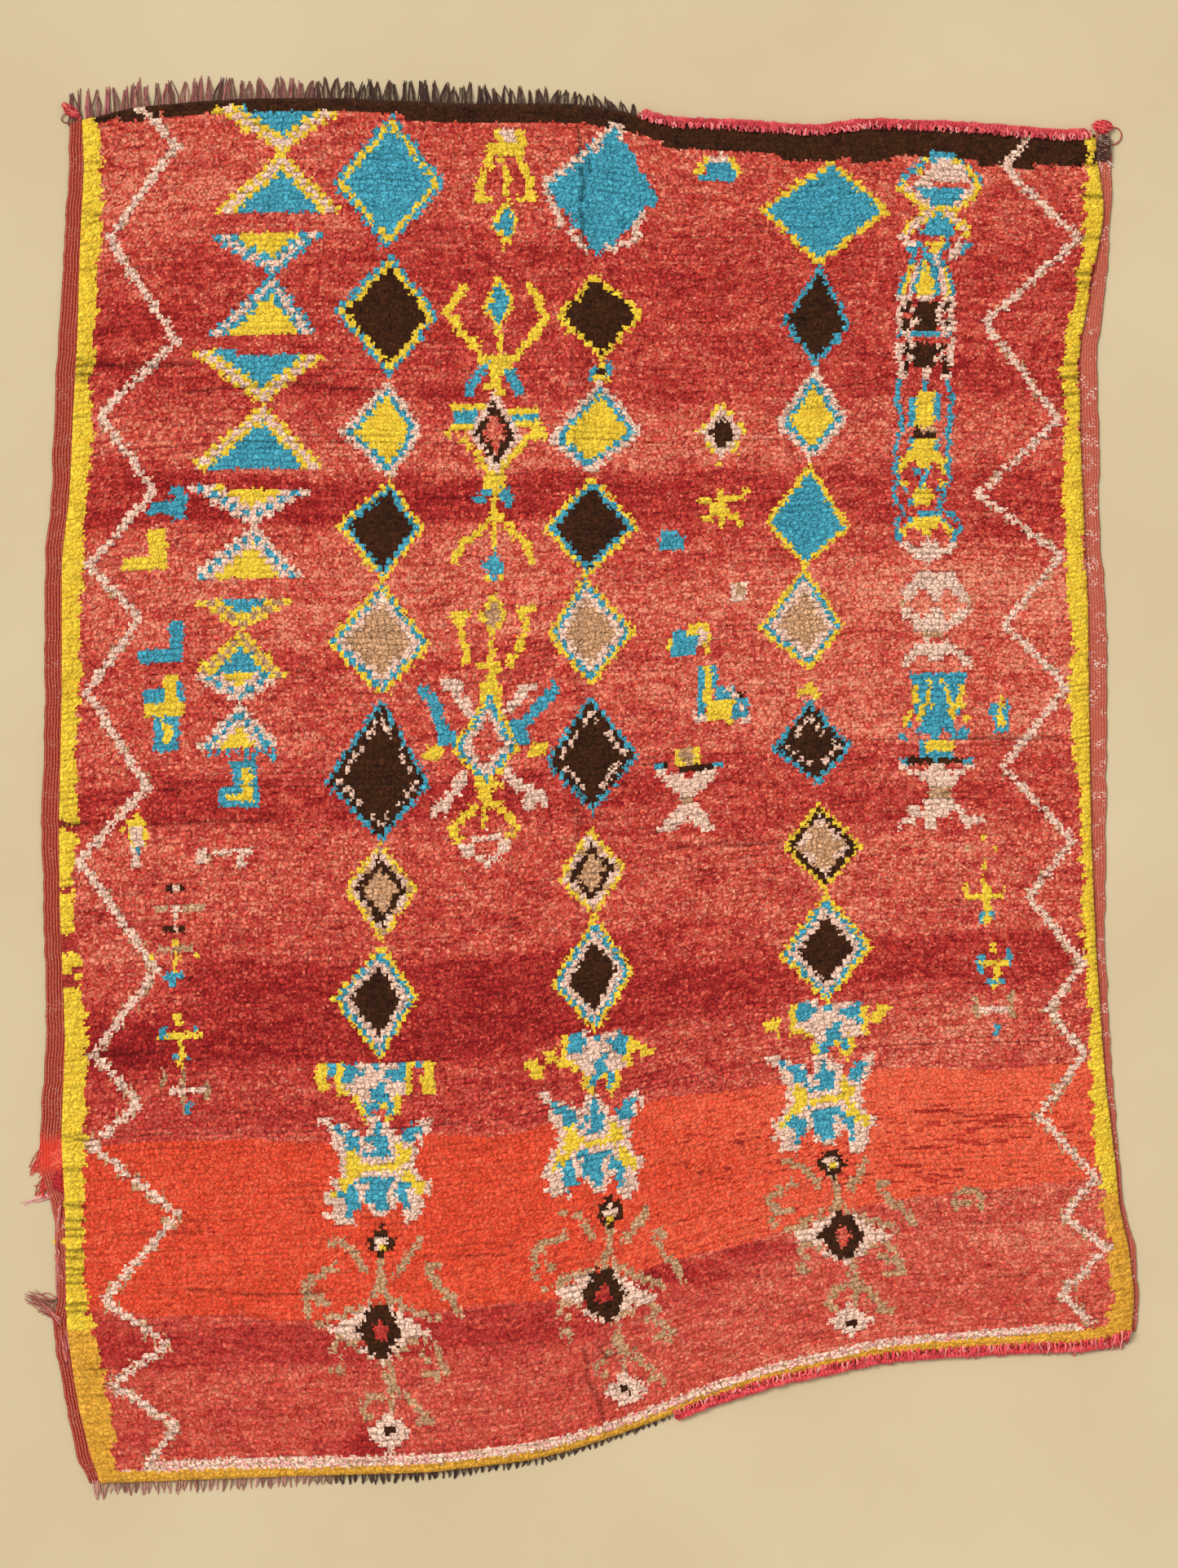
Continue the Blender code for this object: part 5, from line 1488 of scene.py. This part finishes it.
def loose_turns(name, end, span, way, count, reach, seed, shades):
    """The whipping's outer turns, worn loose: each starts on the pile's edge, goes over the roll
    and lies down on the floor, out by the reach at its place, and drifts along the edge."""
    chance = np.random.default_rng(seed)
    root_x = np.linspace(span[0], span[1], count) * MM + chance.normal(0, 1.6 * MM, count)
    edge_y = read(end, root_x)
    k = np.linspace(0, 1, 9)[None, :]
    ragged = 0.75 + 0.3 * cloud(root_x, 0 * root_x, 0.021, 0.02, seed + 1) + chance.normal(0, 0.12, count)
    out = (np.interp(root_x, np.array(span) * MM, np.array(reach) * MM) * ragged)[:, None]
    inside = chance.uniform(3.0, 7.5, (count, 1)) * MM
    drift = chance.normal(0, 3.4, (count, 1)) * MM
    curl = chance.normal(0, 1.5, (count, 1)) * MM
    path_x = root_x[:, None] + drift * (k - 0.4) + curl * np.sin(2 * np.pi * k)
    path_y = edge_y[:, None] + way * ((inside + out) * k - inside)
    crown = chance.uniform(10.0, 13.0, (count, 1)) * MM
    path_z = 1.3 * MM + crown * (1 - np.abs(2 * np.clip(k * 0.62 + 0.38, 0, 1) - 1) ** 2.4)
    thick = 1.25 * MM * (1 - 0.25 * k**2) * chance.uniform(0.75, 1.2, (count, 1))
    colours = between(shades, chance.uniform(0, 1, count))
    return yarns(name, np.stack((path_x, path_y, path_z), -1), thick, colours, None)


top_stray = loose_turns(
    "top_stray_wool", TOP_END, span=(92, 756), way=1, count=300, reach=(8, 11), seed=65,
    shades=("#8E2228", "#D03D46", "#E66064", "#F4A49C"),
)
bottom_stray = loose_turns(
    "bottom_stray_wool", BOTTOM_END, span=(142, 812), way=-1, count=300, reach=(6, 19), seed=66,
    shades=("#A32428", "#E04048", "#EC5C5E", "#F2A098"),
)

# The corners
# At the top left, loose pink wool with a thin loop. At the top right, a red knot of the same wool
# with a thread's loop, and below it a patch where the selvage is bound in dark brown yarn.


def tangle(name, middle, half, count, seed, shades, replaced, thick=1.0, slant=0.0):
    """A loose ball of yarns: each follows the surface of an ellipsoid of half sizes `half`, on
    middle + half (cos a sin b, sin a sin b, cos b), with a and b drifting along it, and the whole
    turned by the slant about its middle."""
    chance = np.random.default_rng(seed)
    k = np.linspace(0, 1, 12)[None, :]
    a = chance.uniform(0, 2 * np.pi, (count, 1)) + chance.normal(0, 1.1, (count, 1)) * k
    b = np.arccos(chance.uniform(-0.9, 0.95, (count, 1))) + chance.normal(0, 1.7, (count, 1)) * k
    spread = chance.uniform(0.55, 1.0, (count, 1)) + 0.25 * k**3 * chance.uniform(0, 1, (count, 1))
    ball = np.stack((np.cos(a) * np.sin(b), np.sin(a) * np.sin(b), np.cos(b)), -1)
    ball = ball * np.array(half) * MM * spread[..., None]
    turned_x = ball[..., 0] * math.cos(slant) - ball[..., 1] * math.sin(slant)
    turned_y = ball[..., 0] * math.sin(slant) + ball[..., 1] * math.cos(slant)
    paths = np.array(middle) * MM + np.stack((turned_x, turned_y, ball[..., 2]), -1)
    girth = thick * MM * (1 - 0.4 * k**3) * chance.uniform(0.8, 1.2, (count, 1))
    paths[..., 2] = np.maximum(paths[..., 2], girth)
    colours = between(shades, chance.uniform(0, 1, count))
    return yarns(name, paths, girth, colours, replaced)


left_tuft = tangle(
    "corner_wool_left", middle=(-747, 999, 4.8), half=(18, 7.5, 5), count=110, seed=71,
    shades=("#9E2028", "#C8383E", "#E06860"), replaced="corner_tuft",
    slant=math.radians(-42),
)
right_knot = tangle(
    "corner_wool_right", middle=(773, 976, 6.0), half=(14.5, 9.5, 6), count=150, seed=72,
    shades=("#A82228", "#E03C42", "#F4746C"), replaced="corner_knob", thick=1.1,
)

# The thin loops: one thread from each corner, laid on the floor
loops = (
    # name, colour, slot, height of its middle in mm, points in pixels
    ("left_thread_loop", "#8A4A40", "pink_yarn", 1.5,
     ((84, 138), (77, 139), (74, 144), (76, 149), (83, 149))),
    ("right_thread_loop", "#A5322C", "rose_yarn", 1.5,
     ((1364, 156), (1371, 155), (1376, 160), (1377, 167), (1373, 174), (1364, 177))),
    ("right_white_thread", "#EDE6DC", "dark_yarn", 6.0,
     ((1342, 197), (1348, 194), (1356, 195), (1361, 198), (1366, 203))),
)
STEPS = 26
THREAD = 0.85 * MM
for name, colour, slot, lift, spots in loops:
    lines = []
    steps = np.linspace(0, len(spots) - 1, STEPS)
    for values in zip(*spots):
        lines.append(np.interp(steps, np.arange(len(spots)), np.array(values, float)))
    lines = [np.convolve(np.pad(line, 2, "edge"), np.ones(5) / 5, "valid") for line in to_metres(*lines)]
    line_z = 0.9 * MM + lift * MM * np.sin(np.linspace(0.15, np.pi - 0.15, STEPS)) ** 0.5
    path = np.stack((*lines, line_z), -1)[None]
    yarns(name, path, np.full((1, STEPS), THREAD), linear(colour)[None], None)

# The dark binding: turns of yarn over the selvage, packed into a low pad with pale specks
PATCH_SIZE = (21.0, 40.0, 5.0)  # mm across, along and thick
PATCH_MIDDLE = (774.5, 945.0, 7.6)
BINDING_TURNS = 13


def binding():
    """The low pad: x = a |cos u|^0.55 and z = c |sin u|^0.6, each with its sign, and both drawn in
    near the ends by (1 - w^8)^0.5, with a ridge of 0.35 mm for every turn of the yarn along it."""
    u = np.linspace(0, 2 * np.pi, 29)[None, :-1]
    w = np.linspace(-0.995, 0.995, 131)[:, None]
    close = (1 - np.abs(w) ** 8) ** 0.5
    ridge = 0.35 * MM * np.cos(np.pi * BINDING_TURNS * w + 0.5 * np.sin(3 * w) + 0.2 * u)
    half = np.array(PATCH_SIZE) * MM / 2
    x = np.sign(np.cos(u)) * np.abs(np.cos(u)) ** 0.55 * (half[0] * close + ridge)
    z = np.sign(np.sin(u)) * np.abs(np.sin(u)) ** 0.6 * (half[2] * close + ridge)
    y = w * half[1] + 0 * u
    points = np.stack((x, y, z), -1) + np.array(PATCH_MIDDLE) * MM
    rows, columns = points.shape[:2]
    at = np.arange(rows * columns).reshape(rows, columns)
    around = np.roll(at, -1, 1)
    tube = np.stack((at[:-1], at[1:], around[1:], around[:-1]), -1).reshape(-1, 4)
    made = new_piece(
        "corner_binding", points.reshape(-1, 3), [tube, at[:1], at[-1:, ::-1]], spun,
        "corner_overcast",
    )
    chance = np.random.default_rng(73)
    colours = between(("#26130D", "#5A3326"), chance.uniform(0, 1, len(tube)))
    pale = chance.random(len(tube)) < 0.04 + 0.16 * (np.arange(len(tube)) > 0.72 * len(tube))
    colours[pale] = linear("#D9B7A6")
    dye_faces(made, np.vstack((colours, colours[:1], colours[-1:])))
    return made


dark_binding = binding()

# The frayed selvage
# Where the left selvage is torn, its red wefts and brown warps come out loose over the floor,
# with a longer end of pink yarn, a few bare warps down the torn stretch, and a brown tuft.


def loose_ends(name, spots, colours, seed, replaced, thick=0.8, wander=2.0, lift=2.6):
    """Loose yarns, each from one pixel to another, wandering sideways on its way and coming down
    from the lift at its root by (1 - k)^2."""
    chance = np.random.default_rng(seed)
    spots = np.array(spots, float)
    k = np.linspace(0, 1, 12)[None, :]
    count = len(spots)
    x0, y0 = to_metres(spots[:, 0], spots[:, 1])
    x1, y1 = to_metres(spots[:, 2], spots[:, 3])
    bend = wander * MM * chance.normal(0, 1, (count, 1)) * np.sin(np.pi * k)
    curl = 0.6 * wander * MM * np.sin(2 * np.pi * k + chance.uniform(0, 6, (count, 1)))
    run = np.hypot(x1 - x0, y1 - y0)[:, None]
    path_x = x0[:, None] + (x1 - x0)[:, None] * k - bend * (y1 - y0)[:, None] / run
    path_y = y0[:, None] + (y1 - y0)[:, None] * k + (bend + curl * k) * (x1 - x0)[:, None] / run
    girth = thick * MM * (1 - 0.55 * k**2) * chance.uniform(0.75, 1.2, (count, 1))
    path_z = girth + lift * MM * (1 - k) ** 2 + chance.uniform(0, 1.6, (count, 1)) * MM * np.sin(np.pi * k)
    return yarns(name, np.stack((path_x, path_y, path_z), -1), girth, colours, replaced)


fray_chance = np.random.default_rng(81)


def fans(*rows):
    """Pixel pairs for fans of yarns. Each row has a count, a root, a tip, and how far the roots and
    the tips are scattered evenly about them."""
    pairs = []
    for count, root, tip, root_spread, tip_spread in rows:
        roots = np.array(root) + fray_chance.uniform(-1, 1, (count, 2)) * root_spread
        tips = np.array(tip) + fray_chance.uniform(-1, 1, (count, 2)) * tip_spread
        pairs.append(np.hstack((roots, tips)))
    return np.vstack(pairs)


def fray_shades(shades, count):
    """A colour for each of some yarns, evenly scattered over the shades."""
    return between(shades, fray_chance.uniform(0, 1, count))


red_fan = fans(
    (26, (52, 1425), (40, 1440), (4, 22), (6, 8)),
    (20, (54, 1455), (46, 1462), (3, 16), (6, 8)),
    (6, (68, 1467), (28, 1478), (3, 2), (6, 3)),
)
red_ends = fray_shades(("#A3201E", "#D9382C", "#EE6A55"), len(red_fan))
red_ends[-6:] = fray_shades(("#E58D92", "#F5B6B6"), 6)
upper_fray = loose_ends(
    "frayed_red_wefts", red_fan, red_ends, 82, "frayed_selvage_upper", thick=0.8, wander=2.2
)

brown_fan = fans(
    (34, (66, 1606), (36, 1592), (4, 12), (8, 8)),
    (12, (70, 1615), (52, 1608), (3, 8), (8, 8)),
)
brown_ends = fray_shades(("#4A2A1E", "#8C5644", "#BC6A5E"), len(brown_fan))
lower_fray = loose_ends(
    "frayed_brown_warps", brown_fan, brown_ends, 83, "frayed_selvage_lower",
    thick=0.75, wander=3.0,
)

bare_fan = fans(
    (16, (73, 1480), (70, 1545), (3, 8), (4, 16)),
    (16, (70, 1535), (73, 1596), (3, 12), (4, 14)),
    (30, (86, 1664), (68, 1612), (6, 12), (7, 12)),
    (12, (72, 1625), (50, 1598), (5, 8), (6, 6)),
)
bare_ends = fray_shades(("#7A1D1D", "#B83A38", "#D99A8C"), len(bare_fan))
bare_warps = loose_ends(
    "bare_warps", bare_fan, bare_ends, 84, None, thick=0.8, wander=2.0, lift=6.0
)

# Loose wool of knots that have worked out over the selvage: bright red, deep red and yellow
bright_fan = fans((90, (79, 1418), (55, 1421), (4, 17), (8, 19)))
deep_fan = fans(
    (90, (77, 1450), (57, 1450), (4, 13), (7, 15)),
    (22, (84, 1487), (74, 1488), (3, 9), (3, 9)),
    (14, (84, 1590), (74, 1596), (3, 9), (3, 9)),
)
yellow_fan = fans(
    (16, (88, 1523), (66, 1524), (3, 3), (3, 2)),
    (12, (86, 1480), (70, 1477), (3, 3), (2, 2)),
    (12, (86, 1502), (73, 1498), (3, 4), (2, 3)),
    (14, (90, 1607), (72, 1605), (3, 4), (2, 2)),
)
loose_colours = (
    fray_shades(("#C0301F", "#E04B35", "#F0725A"), len(bright_fan)),
    fray_shades(("#7E0F17", "#B01C24", "#CF3A3E"), len(deep_fan)),
    fray_shades(("#D9A61F", "#F6D63E"), len(yellow_fan)),
)
worked_out = loose_ends(
    "worked_out_knots", np.vstack((bright_fan, deep_fan, yellow_fan)), np.vstack(loose_colours), 85, None,
    thick=1.25, wander=1.6, lift=7.0,
)

low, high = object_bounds()
